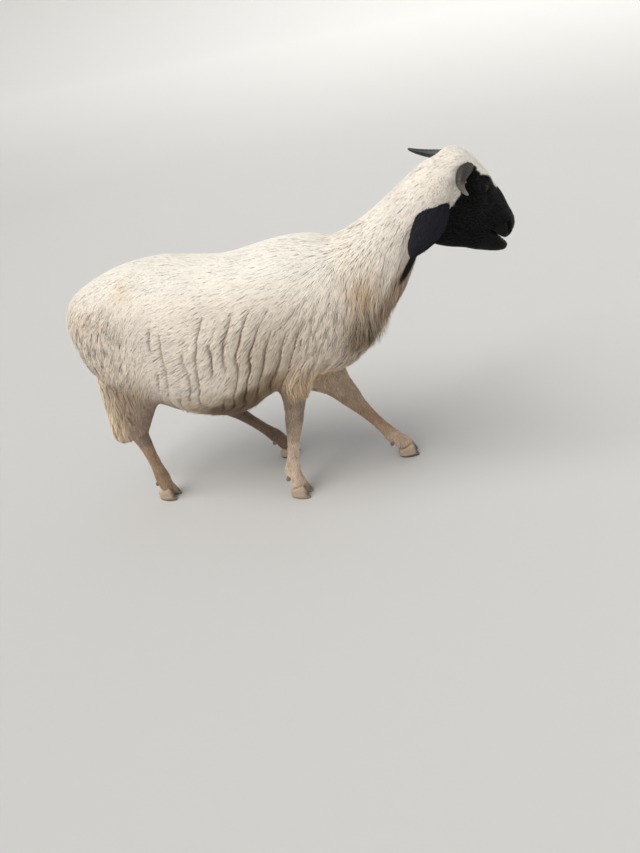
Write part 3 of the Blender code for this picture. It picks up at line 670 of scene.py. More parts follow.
def face_border(q):
    """How far ahead of the edge of the black face a point of the head is, in metres."""
    around = np.degrees(np.arctan2(np.abs(q[:, 1]), q[:, 2] + FACE_AXIS))
    edge = profile(around, FACE_EDGE) + 0.003 * noise(q, 0.016, 21) + 0.0015 * noise(q, 0.005, 22)
    return q[:, 0] - edge


def black_face(places, weights):
    """How black the head is: its face, less the thin blaze, and a ring at the foot of each horn."""
    q = to_head(places + BODY_ORIGIN)
    black = smoothstep(-0.003, 0.003, face_border(q)) * smoothstep(0.25, 0.6, weights["head"])
    by_horn = np.column_stack([q[:, 0], np.abs(q[:, 1]), q[:, 2]]) - HORN_FOOT
    ring = smoothstep(*HORN_RING_RADII, np.linalg.norm(by_horn, axis=1)) * weights["head"]
    blaze = smoothstep(0.0015, -0.0015, np.abs(q[:, 1] - BLAZE_MIDDLE) - profile(q[:, 0], BLAZE))
    return np.maximum(black, ring) * (1 - blaze * (q[:, 2] > 0) * (q[:, 0] > 0.04))


def throat_stripe(places):
    """A dark stripe down the right side of the throat, which runs out to a point."""
    x, y, z = places.T
    along = (0.640 - z) / 0.100
    middle = 0.452 - 0.080 * np.clip(along, -0.5, 1.35)
    width = 0.0135 * smoothstep(1.32, 0.85, along)
    off = np.sqrt((x - middle) ** 2 + (0.6 * (y + 0.026)) ** 2)
    stripe = smoothstep(width + 0.003, np.maximum(width - 0.002, 0.0005), off)
    return stripe * (along > -0.6) * (along < 1.32) * (y < 0.010)


def markings(places, weights):
    """How black the coat is at each place."""
    stripe = throat_stripe(places) * (1 - weights["trunk"])
    return np.clip(np.maximum(black_face(places, weights), stripe), 0, 1)


def capped(colour):
    """The colour, dimmed where its brightest channel would be over PALEST."""
    dimmed = np.minimum(1.0, PALEST / np.maximum(colour.max(axis=1), PALEST))
    return np.maximum(colour, 0.0) * dimmed[:, None]


def patch(places, name):
    """A soft round patch seen from the side, 1 at its middle."""
    x, z, wide, high = PATCHES[name]
    return np.exp(-(((places[:, 0] - x) / wide) ** 2 + ((places[:, 2] - z) / high) ** 2))


def throat_share(places, weights):
    """1 on the front of the neck, 0 behind the middle of its side."""
    x, _, z = places.T
    ahead = ((x - 0.380) - (z - 0.636)) * math.sqrt(0.5)
    return smoothstep(0.45, 0.85, ahead / profile(x, THROAT_RADII)) * weights["neck"]


def short_leg(places):
    """1 where a leg has short hair, 0 where it has wool; the wool reaches lowest at the back of the thigh."""
    x, _, z = places.T
    front = x > 0.02
    border = np.where(front, 0.328, 0.300 + 0.90 * np.clip(x + 0.330, -0.06, 0.03) * (x < -0.20))
    blend = np.where(front, 0.020, 0.040)
    return smoothstep(1.0, -1.0, (z - border) / blend)


def leg_colour(places, coarse, middle):
    """Dusty hair: pale on the standing foreleg, browner on the others, dark on the far hind leg; painted
    light on the far foreleg.
    """
    x, y, z = places.T
    far_fore = (y > 0) & (x > 0.08)
    own = mix(LEG_BROWN, LEG_LIGHT, (y < 0) & (x > -0.15))
    own = mix(own, LEG_DARK, (y > 0) & (x < 0.08))
    own = mix(own, LEG_LIGHT, 0.60 * far_fore * smoothstep(0.13, 0.05, z))
    pale = np.clip(0.95 * smoothstep(0.25, 0.15, z) + 0.30 * (coarse + 0.5 * middle), 0, 1)
    # painted light: the far foreleg's hair is paler where the body shades it
    return mix(mix(LEG, LEG_PAINTED_LIGHT, far_fore), own, pale)


def with_belly(colour, places, weights, coarse, middle):
    """The tan, soiled underline, and the dark brown edge of the belly behind the elbow, darkened further with
    painted shade under the body.
    """
    x, _, z = places.T
    under = smoothstep(0.385, 0.290, z + 0.020 * coarse)
    under *= np.clip(weights["trunk"] + 0.6 * weights["leg"], 0, 1)
    under *= 0.55 + 0.45 * smoothstep(-0.16, 0.02, x)
    colour = mix(colour, TAN, 0.95 * under)
    colour = mix(colour, SOILED, 0.60 * under * smoothstep(-0.1, 0.6, middle))
    # painted shade: the belly's edge behind the elbow is dark brown, and darker still where the body shades
    # it
    over_edge = z - 0.347 - 0.33 * (x + 0.044) + 0.018 * middle
    dark = smoothstep(0.026, -0.018, over_edge) * smoothstep(-0.17, -0.08, x) * smoothstep(0.13, 0.08, x)
    return mix(colour, BELLY_BROWN_AND_SHADE, np.clip(0.95 * dark * (weights["trunk"] + weights["leg"]), 0, 1))


def with_front(colour, places, weights, middle):
    """Painted shade on the lower front of the trunk and ribs, the tan brisket and elbow, the soiled low chest
    and the front of the neck.
    """
    x, y, z = places.T
    # painted shade: the lower front of the trunk turns a little tanner, and the lower front ribs darker
    low_front = smoothstep(-0.05, 0.08, x) * smoothstep(0.56, 0.46, z) * weights["trunk"]
    colour = mix(colour, TAN, 0.14 * low_front)
    colour = mix(colour, colour * RIBS_PAINTED_SHADE, patch(places, "ribs"))
    brisket = patch(places, "tan brisket") * np.exp(-((np.abs(y) - 0.07) / 0.07) ** 2)
    colour = mix(colour, TAN, np.clip(0.80 * brisket * (1 + 0.5 * middle), 0, 1))
    colour = mix(colour, TAN, 0.55 * patch(places, "tan elbow"))
    colour = mix(colour, SOILED, np.clip(1.05 * patch(places, "low chest") * (1 + 0.5 * middle), 0, 1))
    throat = throat_share(places, weights) * (1 - 0.45 * smoothstep(0.54, 0.60, z))
    return mix(colour, THROAT, 0.95 * throat)


def with_thigh(colour, places, weights, middle, fine):
    """The soiled thigh with its grey marks, and a warm stain on the rump."""
    x, _, z = places.T
    colour = mix(colour, TAN, 0.22 * smoothstep(-0.22, -0.36, x) * smoothstep(0.64, 0.54, z))
    low = smoothstep(-0.20, -0.29, x) * smoothstep(0.46, 0.34, z) * (1 - weights["tail"])
    colour = mix(colour, THIGH, 0.92 * low)
    marks = patch(places, "thigh") * smoothstep(0.0, 0.5, middle + 0.5 * fine)
    colour = mix(colour, GREY, np.clip(0.75 * marks, 0, 1))
    return mix(colour, STAIN, 0.45 * patch(places, "rump stain"))


def with_legs(colour, places, weights, coarse, middle, fine):
    """The legs' short hair, and a soiled mark on the right hock."""
    legs = leg_colour(places, coarse, middle) * (1 + 0.16 * fine + 0.10 * middle)[:, None]
    colour = mix(colour, legs, weights["leg"] * short_leg(places))
    hock = patch(places, "hock") * (places[:, 1] < 0)
    return mix(colour, SOILED * 0.6, hock * smoothstep(0.05, 0.35, fine))


def coat_colour(places, weights, depth_share):
    """Colour of skin and hair, and how black it is; depth_share is 0 deep in a groove, 1 on the surface, and
    the colour gets painted shade towards the groove's bottom.
    """
    z = places[:, 2]
    coarse, middle, fine = noise(places, 0.060, 31), noise(places, 0.022, 32), noise(places, 0.009, 33)
    # painted light: the coat turns whiter towards the top of the back, less so on the neck, where light from
    # above falls
    top = smoothstep(0.54, 0.66, z) * (1 - weights["head"]) * (1 - 0.6 * weights["neck"])
    colour = mix(mix(CREAM, WHITE, 0.90 * top), WHITE, weights["head"])
    colour = with_belly(colour, places, weights, coarse, middle)
    colour = with_front(colour, places, weights, middle)
    colour = with_thigh(colour, places, weights, middle, fine)
    colour = with_legs(colour, places, weights, coarse, middle, fine)
    colour = mix(colour, TAIL, weights["tail"] * smoothstep(0.54, 0.40, z) * (0.80 + 0.20 * coarse))
    colour = mix(colour, TAIL_TIP, weights["tail"] * smoothstep(0.32, 0.18, z) * 0.75)
    colour *= (1 + 0.05 * coarse + 0.05 * middle + 0.03 * fine)[:, None]
    # painted shade: the colour darkens towards the bottom of each groove
    lit = np.clip(depth_share, 0, 1)[:, None]
    colour *= GROOVE_SHADE * (1 - lit) + lit
    black = markings(places, weights)
    return mix(colour, BLACK, black), black


# ----------------------------------------------------------------------------------------------------
# Skin

def flesh_and_plugs():
    """The flesh nodes as one soup of closed surfaces, with the sockets of the small parts filled."""
    soup = bmesh.new()
    for name in FLESH:
        soup.from_mesh(NODES[name].data)
    plugs = [(from_head(mirrored(place, side)), radius) for side in (-1, 1) for place, radius in HEAD_PLUGS]
    for x, y, _ in FEET.values():
        plugs.append((np.array((x - FOOT_PLUG_BACK, y, FOOT_PLUG_HEIGHT)) + BODY_ORIGIN, FOOT_PLUG_RADIUS))
    for place, radius in plugs:
        bmesh.ops.create_icosphere(soup, subdivisions=3, radius=radius, matrix=Matrix.Translation(place))
    data = bpy.data.meshes.new("soup")
    soup.to_mesh(data)
    soup.free()
    return data


def label_weights(points, pairs):
    """Soft shares of head, neck, trunk, tail and leg at every vertex."""
    faces, owners, corners = [], [], []
    for name in FLESH:
        data = NODES[name].data
        base = len(corners)
        corners += [v.co.copy() for v in data.vertices]
        faces += [[base + k for k in polygon.vertices] for polygon in data.polygons]
        owners += [PARTS.index(name.split("_")[0])] * len(data.polygons)
    tree = BVHTree.FromPolygons(corners, faces)
    hot = np.zeros((len(points), len(PARTS)))
    for i, point in enumerate(points):
        hot[i, owners[tree.find_nearest(point)[2]]] = 1.0
    return dict(zip(PARTS, averaged(hot, pairs, 14).T))


def refine(data, chosen):
    """Splits the faces round the chosen vertices once."""
    mesh = bmesh.new()
    mesh.from_mesh(data)
    mesh.verts.ensure_lookup_table()
    marked = {mesh.verts[i] for i in np.nonzero(chosen)[0]}
    edges = [e for e in mesh.edges if e.verts[0] in marked and e.verts[1] in marked]
    bmesh.ops.subdivide_edges(mesh, edges=edges, cuts=1, use_grid_fill=True, smooth=0.0)
    bmesh.ops.triangulate(mesh, faces=[f for f in mesh.faces if len(f.verts) > 4])
    mesh.to_mesh(data)
    mesh.free()


def from_eye(q):
    """Distance of points of the head from the eye on their side."""
    return np.linalg.norm(np.column_stack([q[:, 0], -np.abs(q[:, 1]), q[:, 2]]) - EYE_CENTRE, axis=1)


def fused_flesh():
    """The flesh as one smooth skin, finer on the face and finest at the eyes and the muzzle."""
    thing = bpy.data.objects.new("skin", flesh_and_plugs())
    bpy.context.scene.collection.objects.link(thing)
    remesh = thing.modifiers.new("fuse", "REMESH")
    remesh.mode = "VOXEL"
    remesh.voxel_size = SKIN_VOXEL
    data = settled(thing)
    pairs = edges_of(data)
    points = averaged(mesh_arrays(data)[0], pairs, 36, (0.62, -0.64))
    points = averaged(points, pairs, 5)
    set_points(data, points)
    weights = label_weights(points, pairs)
    refine(data, (weights["head"] > 0.3) & (to_head(points)[:, 0] > 0.0))
    q = to_head(mesh_arrays(data)[0])
    muzzle = (q[:, 0] > 0.172) & (q[:, 0] < 0.30) & (np.abs(q[:, 1]) < 0.06) & (q[:, 2] > -0.13)
    refine(data, muzzle | (from_eye(q) < 0.027))
    pairs = edges_of(data)
    set_points(data, averaged(mesh_arrays(data)[0], pairs, 3))
    return thing, data, pairs


def coat_depth(places, weights):
    """How deep the coat is: from the skin to the tips that make the outline."""
    z = places[:, 2]
    depth = shared(weights, COAT_DEPTH)
    depth -= 0.0022 * smoothstep(*BACK_HEIGHTS, z) * weights["trunk"]
    depth -= 0.0020 * smoothstep(*NAPE_HEIGHTS, z) * weights["neck"]
    return depth - (COAT_DEPTH["leg"] - SHORT_DEPTH) * short_leg(places) * weights["leg"]


def face_relief(q, side):
    """How far one side of the face goes out: socket, brow, cheek, nostril, mouth line and lips."""
    x, y, z = mirrored(q.T, side)
    eye_x, eye_y, eye_z = mirrored(EYE_CENTRE, -1)
    on_side = smoothstep(0.010, 0.022, y)
    off = np.sqrt(((x - eye_x) / 1.25) ** 2 + ((z - eye_z) / 0.95) ** 2 + (0.5 * (y - eye_y)) ** 2)
    out = -0.0050 * np.exp(-(off / 0.0135) ** 2) * on_side
    for at_x, at_z, wide, high, rise in HEAD_RELIEF:
        out += rise * np.exp(-(((x - at_x) / wide) ** 2 + ((z - at_z) / high) ** 2)) * on_side
    # the nostril is a slanting comma with a raised rim
    by_nose = smoothstep(0.006, 0.012, y)
    slant = 0.0125 * np.clip((x - 0.196) / 0.022, 0, 1) ** 1.4
    across = np.hypot(z + 0.0225 + slant, np.clip(np.abs(x - 0.207) - 0.011, 0, None))
    out -= 0.0075 * np.exp(-(across / 0.0030) ** 2) * by_nose
    out += 0.0016 * np.exp(-((across - 0.0062) / 0.0028) ** 2) * by_nose
    # the mouth line runs back from the gap between the lips, and the lips stand out over and under it
    off_line = z + 0.0585 - 0.002 * smoothstep(0.17, 0.24, x)
    line = np.exp(-(off_line / 0.0022) ** 2) * smoothstep(0.150, 0.178, x) * smoothstep(0.006, 0.014, y)
    lips = np.exp(-((np.abs(off_line) - 0.0065) / 0.0035) ** 2) * smoothstep(0.160, 0.190, x) * on_side
    return out - 0.0042 * line + 0.0012 * lips


def shape_head(points, normals, weights):
    """The points of the skin, with the head's relief, muzzle and open lips."""
    q = to_head(points)
    n = normals @ HEAD_AXES
    x, y, z = q.T
    move = n * (face_relief(q, -1) + face_relief(q, 1))[:, None]
    for along_z, along_x, way in MUZZLE_MOVES:
        move += np.outer(smoothstep(*along_z, z) * smoothstep(*along_x, x), way)
    chin = np.exp(-((x - 0.200) / 0.030) ** 2) * smoothstep(-0.078, -0.092, z)
    move[:, 2] -= CHIN_DROP * chin
    hang = smoothstep(-0.060, -0.052, z) * smoothstep(0.195, 0.228, x) * smoothstep(-0.020, -0.045, z)
    move[:, 0] += LIP_HANG * hang
    gap = np.exp(-((z - LIP_GAP_HEIGHT) / LIP_GAP_HALF) ** 2) * smoothstep(0.176, 0.208, x)
    move[:, 0] -= LIP_GAP_DEPTH * gap
    move[:, 1] -= 0.35 * gap * y
    # the cleft between the nostrils
    cleft = np.exp(-(y / 0.0016) ** 2) * smoothstep(0.205, 0.222, x) * smoothstep(-0.060, -0.048, z)
    move -= n * (0.0026 * cleft * (n[:, 0] > 0.2))[:, None]
    share = smoothstep(0.2, 0.7, weights["head"])[:, None]
    return points + (move * share) @ HEAD_AXES.T


class Ground:
    """A surface that hair grows on: its points, its triangles and map, and the way hair lies on it."""

    def __init__(self, thing, lie):
        unwrap(thing)
        data = thing.data
        self.points, self.normals = mesh_arrays(data)
        self.lie = lie
        data.calc_loop_triangles()
        self.corners = self.read(data.loop_triangles, "vertices", np.int64, 3)
        self.loops = self.read(data.loop_triangles, "loops", np.int64, 3)
        self.uv = self.read(data.uv_layers.active.data, "uv", np.float64, 2)
        a, b, c = (self.points[self.corners[:, k]] for k in range(3))
        self.areas = 0.5 * np.linalg.norm(np.cross(b - a, c - a), axis=1)
        self.nearest = finder(self.points)

    @staticmethod
    def read(items, name, kind, size):
        values = np.empty(len(items) * size, dtype=kind)
        items.foreach_get(name, values)
        return values.reshape(-1, size)

    def scatter(self, density):
        """Roots spread over the surface, density (per square metre) given at the points."""
        share = self.areas * density[self.corners].mean(axis=1)
        total = np.cumsum(share)
        count = int(total[-1])
        pick = (np.arange(count) + RNG.random(count)) * total[-1] / count
        face = np.minimum(np.searchsorted(total, pick), len(share) - 1)
        r1 = np.sqrt(RNG.random(count))
        r2 = RNG.random(count)
        bary = np.column_stack([1 - r1, r1 * (1 - r2), r1 * r2])
        roots = (self.points[self.corners[face]] * bary[:, :, None]).sum(axis=1)
        uv = (self.uv[self.loops[face]] * bary[:, :, None]).sum(axis=1)
        return roots, uv


def finder(points):
    """A function that gives the number of the point nearest to each place."""
    tree = KDTree(len(points))
    for i, point in enumerate(points):
        tree.insert(point, i)
    tree.balance()
    return lambda places: np.fromiter((tree.find(p)[1] for p in places), dtype=np.int64, count=len(places))


def build_skin():
    """The skin as ground for the coat, and its part weights, coat depth and blackness at the points."""
    skin, data, pairs = fused_flesh()
    points, normals = mesh_arrays(data)
    weights = label_weights(points, pairs)
    places = points - BODY_ORIGIN
    depth = coat_depth(places, weights)
    share, _, strength = rib_rows(places)
    shadow = strength * row_shadow(share)
    pressed = points - normals * (depth + GROOVE_DEPTH * shadow)[:, None]
    set_points(data, shape_head(pressed, normals, weights))
    points, normals = mesh_arrays(data)
    places = points - BODY_ORIGIN
    lie = averaged(laid_along(lie_of_coat(places, weights), normals), pairs, 6)
    colour, black = coat_colour(places, weights, 1 - shadow)
    store(data, "coat_colour", capped(colour))
    data.shade_smooth()
    data.materials.append(SKIN)
    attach(skin, "root")
    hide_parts(*FLESH)
    return Ground(skin, laid_along(lie, normals)), weights, depth, black


# ----------------------------------------------------------------------------------------------------
# Coat: solid locks, tapered and three-sided, that follow the skin and the lie of the hair

Ring = namedtuple("Ring", "centre out side nearest")


def lock_pattern(rings):
    """Triangles of one lock: three points to a ring, a tip, and a cap on the root."""
    out = []
    for k in range(rings - 1):
        for j in range(3):
            a, b = 3 * k + j, 3 * k + (j + 1) % 3
            out += [(a, b, b + 3), (a, b + 3, a + 3)]
    last, tip = 3 * (rings - 1), 3 * rings
    out += [(last + j, last + (j + 1) % 3, tip) for j in range(3)]
    out.append((2, 1, 0))
    return np.array(out, dtype=np.int64)


def grow(ground, roots, steps, length, height_at, waver, spread, clump=None, in_rows=False):
    """The rings of the locks from root to tip, with the ground's nearest point to each."""
    here = roots
    turn = RNG.normal(0.0, 1.0, len(roots)) * spread
    phase = RNG.random(len(roots)) * 2 * math.pi
    bend = RNG.normal(0.0, 1.0, len(roots))
    row = rib_rows(roots - BODY_ORIGIN)[1]
    rings = []
    for k in range(steps + 1):
        t = k / steps
        nearest = ground.nearest(here)
        out = ground.normals[nearest]
        side = unit(np.cross(out, ground.lie[nearest]))
        way = unit(ground.lie[nearest] + side * (turn + 0.22 * bend * t)[:, None])
        base = here - out * ((here - ground.points[nearest]) * out).sum(axis=1, keepdims=True)
        centre = base + side * (waver * (np.sin(phase + 5.0 * t) - np.sin(phase)))[:, None]
        if clump is not None:
            seed, pull = clump
            off = ((centre - seed) * side).sum(axis=1)
            centre = centre - side * (off * pull * t ** 1.3)[:, None]
        height = height_at(centre, nearest, t)
        rings.append(Ring(centre + out * height[:, None], out, side, nearest))
        here = base + way * (length / steps)[:, None]
        if in_rows:
            stopped = past_row_end(row, here)[:, None]
            here = np.where(stopped, base + (here - base) * 0.15, here)
    return rings


def lock_meshes(name, material, rings, width, taper, flatness, colours, uv):
    """Joined meshes of the locks, from tail to nose, each under the triangle limit of a piece."""
    steps = len(rings) - 1
    count, per = len(width), 3 * steps + 1
    points = np.empty((count, per, 3))
    tint = np.empty((count, per, 3))
    place = np.empty((count, per, 2))
    for k, ring in enumerate(rings[:-1]):
        half = (width * taper[k] * 0.5)[:, None]
        low = ring.centre - ring.out * half * 0.3 * flatness
        points[:, 3 * k] = low - ring.side * half
        points[:, 3 * k + 1] = low + ring.side * half
        points[:, 3 * k + 2] = ring.centre + ring.out * half * flatness
        tint[:, 3 * k:3 * k + 3] = colours[k][:, None, :]
        for j, across in enumerate((-0.5, 0.5, 0.0)):
            place[:, 3 * k + j] = uv + np.array((across, k / steps - 0.5)) * BAKE_PATCH
    points[:, -1] = rings[-1].centre
    tint[:, -1] = colours[-1]
    place[:, -1] = uv + np.array((0.0, 0.5)) * BAKE_PATCH
    order = np.argsort(rings[0].centre[:, 0], kind="stable")
    pattern = lock_pattern(steps)
    chunk = PIECE_TRIANGLES // len(pattern)
    for part, start in enumerate(range(0, count, chunk)):
        chosen = order[start:start + chunk]
        triangles = (pattern[None] + (np.arange(len(chosen)) * per)[:, None, None]).reshape(-1, 3)
        data = triangle_mesh(name, points[chosen].reshape(-1, 3), triangles)
        layer = data.uv_layers.new(name="OFBake")
        flat_map = place[chosen].reshape(-1, 2)[triangles.ravel()]
        layer.data.foreach_set("uv", flat_map.astype(np.float32).ravel())
        store(data, "coat_colour", tint[chosen].reshape(-1, 3))
        data.shade_smooth()
        sharpen_sides(data, per)
        add_piece(f"{name}_{part + 1}", data, material)


def triangle_mesh(name, points, triangles):
    data = bpy.data.meshes.new(name)
    data.vertices.add(len(points))
    data.vertices.foreach_set("co", points.astype(np.float32).ravel())
    data.loops.add(triangles.size)
    data.loops.foreach_set("vertex_index", triangles.astype(np.int32).ravel())
    data.polygons.add(len(triangles))
    data.polygons.foreach_set("loop_start", np.arange(0, triangles.size, 3, dtype=np.int32))
    data.update(calc_edges=True)
    return data


def sharpen_sides(data, per):
    """Marks the side and root edges of every lock sharp, so that its flat top is lit like the coat."""
    corner = edges_of(data) % per
    corner.sort(axis=1)
    near, far = corner.T
    last = per - 1
    along = (far - near == 3) & (near % 3 != 2)
    tip = (far == last) & ((near == last - 3) | (near == last - 2))
    cap = far < 3
    data.attributes.new("sharp_edge", "BOOLEAN", "EDGE").data.foreach_set("value", along | tip | cap)


def sleekness(places, weights):
    """1 on the back and near the head, where the coat is short and smooth."""
    z = places[:, 2]
    return smoothstep(*BACK_HEIGHTS, z) * weights["trunk"] + smoothstep(*NAPE_HEIGHTS, z) * weights["neck"]


def by_ear(places):
    """1 at the ear's base, falling to 0 a little way from it."""
    x, y, z = to_head(places + BODY_ORIGIN).T
    base_x, base_y, base_z = EAR_BASE
    off = np.column_stack([x - base_x, np.clip(np.abs(y) - base_y, 0.0, None), z - base_z])
    return smoothstep(*BY_EAR, np.linalg.norm(off, axis=1))


def wool_sizes(places, weights, black, kinds):
    """Length, width and number per square metre of the wool's locks at every point of the skin."""
    length = shared(weights, WOOL_LENGTH) + shared(kinds, ADDED_LENGTH)
    length -= 0.016 * smoothstep(*NAPE_SHORT_HEIGHTS, places[:, 2]) * weights["neck"]
    length *= 1 - 0.78 * by_ear(places)
    width = shared(weights, WOOL_WIDTH) - 0.0006 * kinds["smooth"]
    density = WOOL_COVER / (np.maximum(length, SHORTEST_COUNTED) * width * LOCK_FILL)
    density *= 1 - smoothstep(0.4, 0.9, short_leg(places)) * weights["leg"]
    density *= 1 - np.clip(black * smoothstep(0.3, 0.6, weights["head"]), 0, 1)
    return length, width, density


def kinds_of_place(places, known):
    """How much of each kind of wool grows at each place, along with the kinds already known there."""
    x, _, z = places.T
    kinds = {name: patch(places, name) for name in ("brisket", "ruff", "shoulder", "elbow", "rump")}
    kinds["thigh"] = smoothstep(-0.22, -0.30, x) * smoothstep(0.60, 0.52, z)
    return {"all": 1.0, **kinds, **known}


def wool_tones(rings, weights, kinds, valley, shade):
    """Colours of the wool's locks at each ring."""
    colours = []
    dimmed = shade * (1 - shared(kinds, VALLEY_SHADE) * valley)
    for ring, paler in zip(rings, WOOL_TONES):
        here = {part: values[ring.nearest] for part, values in weights.items()}
        share, _, strength = rib_rows(ring.centre - BODY_ORIGIN)
        tone, _ = coat_colour(ring.centre - BODY_ORIGIN, here, 1 - strength * row_shadow(share) * 0.95)
        if not colours:
            root_tone = tone
        tone = mix(tone, root_tone * ELBOW_WARMTH, np.clip(1.5 * kinds["elbow"], 0, 1))
        colours.append(capped(tone * (paler * dimmed)[:, None]))
    return colours


def wool(ground, weights, depth, black):
    """The wool: locks that lie in clumps and, on the ribs, in rows."""
    at_points = ground.points - BODY_ORIGIN
    known = {"smooth": sleekness(at_points, weights), "neck": weights["neck"], "tail": weights["tail"],
             "under": smoothstep(-0.25, -0.75, ground.normals[:, 2]) * weights["trunk"]}
    length_at, width_at, density = wool_sizes(at_points, weights, black, kinds_of_place(at_points, known))
    roots, uv = ground.scatter(density)
    first = ground.nearest(roots)
    row = rib_rows(roots - BODY_ORIGIN)[1]
    keep = ~past_row_end(row, roots + ground.lie[first] * EDGE_CLEAR)
    roots, uv, first = roots[keep], uv[keep], first[keep]
    count = len(roots)
    length = length_at[first] * RNG.uniform(0.70, 1.20, count)
    width = width_at[first] * RNG.uniform(0.70, 1.30, count)
    kinds = kinds_of_place(roots - BODY_ORIGIN, {name: values[first] for name, values in known.items()})
    smooth = kinds["smooth"]
    layer = 1.02 - RNG.uniform(0.0, 0.22, count) * (1 - 0.50 * smooth)
    stray = RNG.random(count) < shared(kinds, STRAY_CHANCE)
    lift = stray * RNG.uniform(*STRAY_LIFT, count) * (1 - 0.5 * smooth) + shared(kinds, LIFTED_TIP)

    seeds, _ = ground.scatter(density / CLUMP_LOCKS)
    seed = seeds[finder(seeds)(roots)]
    pull = np.clip(shared(kinds, CLUMP_PULL), 0.0, STRONGEST_PULL)
    side = unit(np.cross(ground.normals[first], ground.lie[first]))
    off = np.abs(((roots - seed) * side).sum(axis=1))
    valley = np.clip(off / VALLEY_REACH, 0, 1) ** 2 * pull

    def height_at(centre, nearest, t):
        rise = profile(t, WOOL_RISE) * (1 - smooth) + profile(t, SLEEK_RISE) * smooth
        share, _, strength = rib_rows(centre - BODY_ORIGIN)
        full = depth[nearest] * (1 - GROOVE_THINNING * strength * (1 - row_height(share)))
        full *= 1 - shared(kinds, VALLEY_DEPTH) * valley
        return full * rise * layer + lift * t * t

    rings = grow(ground, roots, 3, length, height_at, shared(kinds, WAVER),
                 shared(kinds, LIE_SPREAD), (seed, pull), in_rows=True)
    shade = RNG.normal(1.0, shared(kinds, TONE_SPREAD), count)
    colours = wool_tones(rings, weights, kinds, valley, shade)
    lock_meshes("wool", WOOL, rings, width, WOOL_TAPER, 0.30, colours, uv)


def short_hair(ground, name, material, length, width, density, height, tone_of,
               spread=0.20, vary=0.10):
    """Short locks; length and density are given at the ground's points, and length may be one number."""
    roots, uv = ground.scatter(density)
    first = ground.nearest(roots)
    count = len(roots)
    long = np.broadcast_to(length, len(ground.points))[first] * RNG.uniform(0.7, 1.25, count)
    wide = width * RNG.uniform(0.75, 1.25, count)

    def height_at(centre, nearest, t):
        return np.full(count, profile(t, HAIR_RISE) * height)

    rings = grow(ground, roots, 2, long, height_at, 0.0002, spread)
    shade = RNG.normal(1.0, vary, count)
    tone = tone_of(roots, first)
    colours = [capped(tone * (paler * shade)[:, None]) for paler in HAIR_TONES]
    lock_meshes(name, material, rings, wide, HAIR_TAPER, 0.5, colours, uv)


def hair_of_face_and_legs(ground, weights, black):
    """Black hair on the face, but not on the eyes and the tip of the nose, and dusty hair on the legs."""
    q = to_head(ground.points)
    nose = np.exp(-(((q[:, 0] - 0.222) / 0.012) ** 2 + ((q[:, 2] + 0.035) / 0.020) ** 2))
    bare = np.maximum(nose, smoothstep(0.015, 0.011, from_eye(q)))
    face = smoothstep(0.35, 0.65, weights["head"]) * black * (1 - bare)
    legs = weights["leg"] * smoothstep(0.0, 0.4, short_leg(ground.points - BODY_ORIGIN))

    def skin_tone(roots, first):
        here = {part: values[first] for part, values in weights.items()}
        return coat_colour(roots - BODY_ORIGIN, here, np.ones(len(roots)))[0]

    face_length = 0.0070 - 0.0038 * smoothstep(0.16, 0.20, q[:, 0])
    short_hair(ground, "face_hair", BLACK_HAIR, face_length, 0.0011, 115000.0 * face, 0.0011,
               skin_tone)
    short_hair(ground, "leg_hair", WOOL, 0.0110, 0.0016, 85000.0 * legs, 0.0024,
               skin_tone, 0.26, 0.17)


# ----------------------------------------------------------------------------------------------------
# Eyes, ears, horns and claws

def eye_frame(side):
    """Centre of the eyeball, the way it looks, and the directions along and across its pupil."""
    axis = direction(mirrored(EYE_AXIS, side) @ HEAD_AXES.T)
    level = np.array(EYE_LEVEL) @ HEAD_AXES.T
    level = direction(level - axis * level.dot(axis))
    centre = from_head(mirrored(EYE_CENTRE, side)) - axis * EYE_SUNK
    return centre, axis, level, np.cross(level, axis) * -side


def eyeball(side, name):
    """A wet eyeball with a brown iris and a level pupil."""
    centre, axis, level, up = eye_frame(side)
    around, steps = 128, 96
    theta = full_turn(around)
    rings, tones = [], []
    for phi in np.linspace(0.0, math.pi, steps + 2)[1:-1]:
        radius = EYE_RADIUS * (1 + CORNEA_RISE * math.exp(-(phi / CORNEA_ANGLE) ** 2))
        out = math.sin(phi)
        u, w = out * np.cos(theta), out * np.sin(theta)
        rings.append(centre + radius * (math.cos(phi) * axis + np.outer(u, level) + np.outer(w, up)))
        rays = 1 + 0.25 * np.sin(theta * 31) * out + 0.15 * np.sin(theta * 57 + 1)
        in_iris = out < IRIS_SHARE and phi < IRIS_ANGLE
        tone = np.outer(rays, IRIS) if in_iris else np.repeat(SCLERA[None], around, axis=0)
        tone = tone * (1 - 0.85 * math.exp(-((out - IRIS_SHARE) / 0.05) ** 2))
        pupil = smoothstep(1.08, 0.92, np.hypot(u / PUPIL_WIDTH, w / PUPIL_HEIGHT)) * (phi < PUPIL_ANGLE)
        tones.append(mix(tone, PUPIL, pupil))
    data = ring_mesh(name, rings)
    store(data, "coat_colour", np.vstack([*tones, PUPIL, SCLERA]))
    add_stand_in(name, data, EYE_WET)


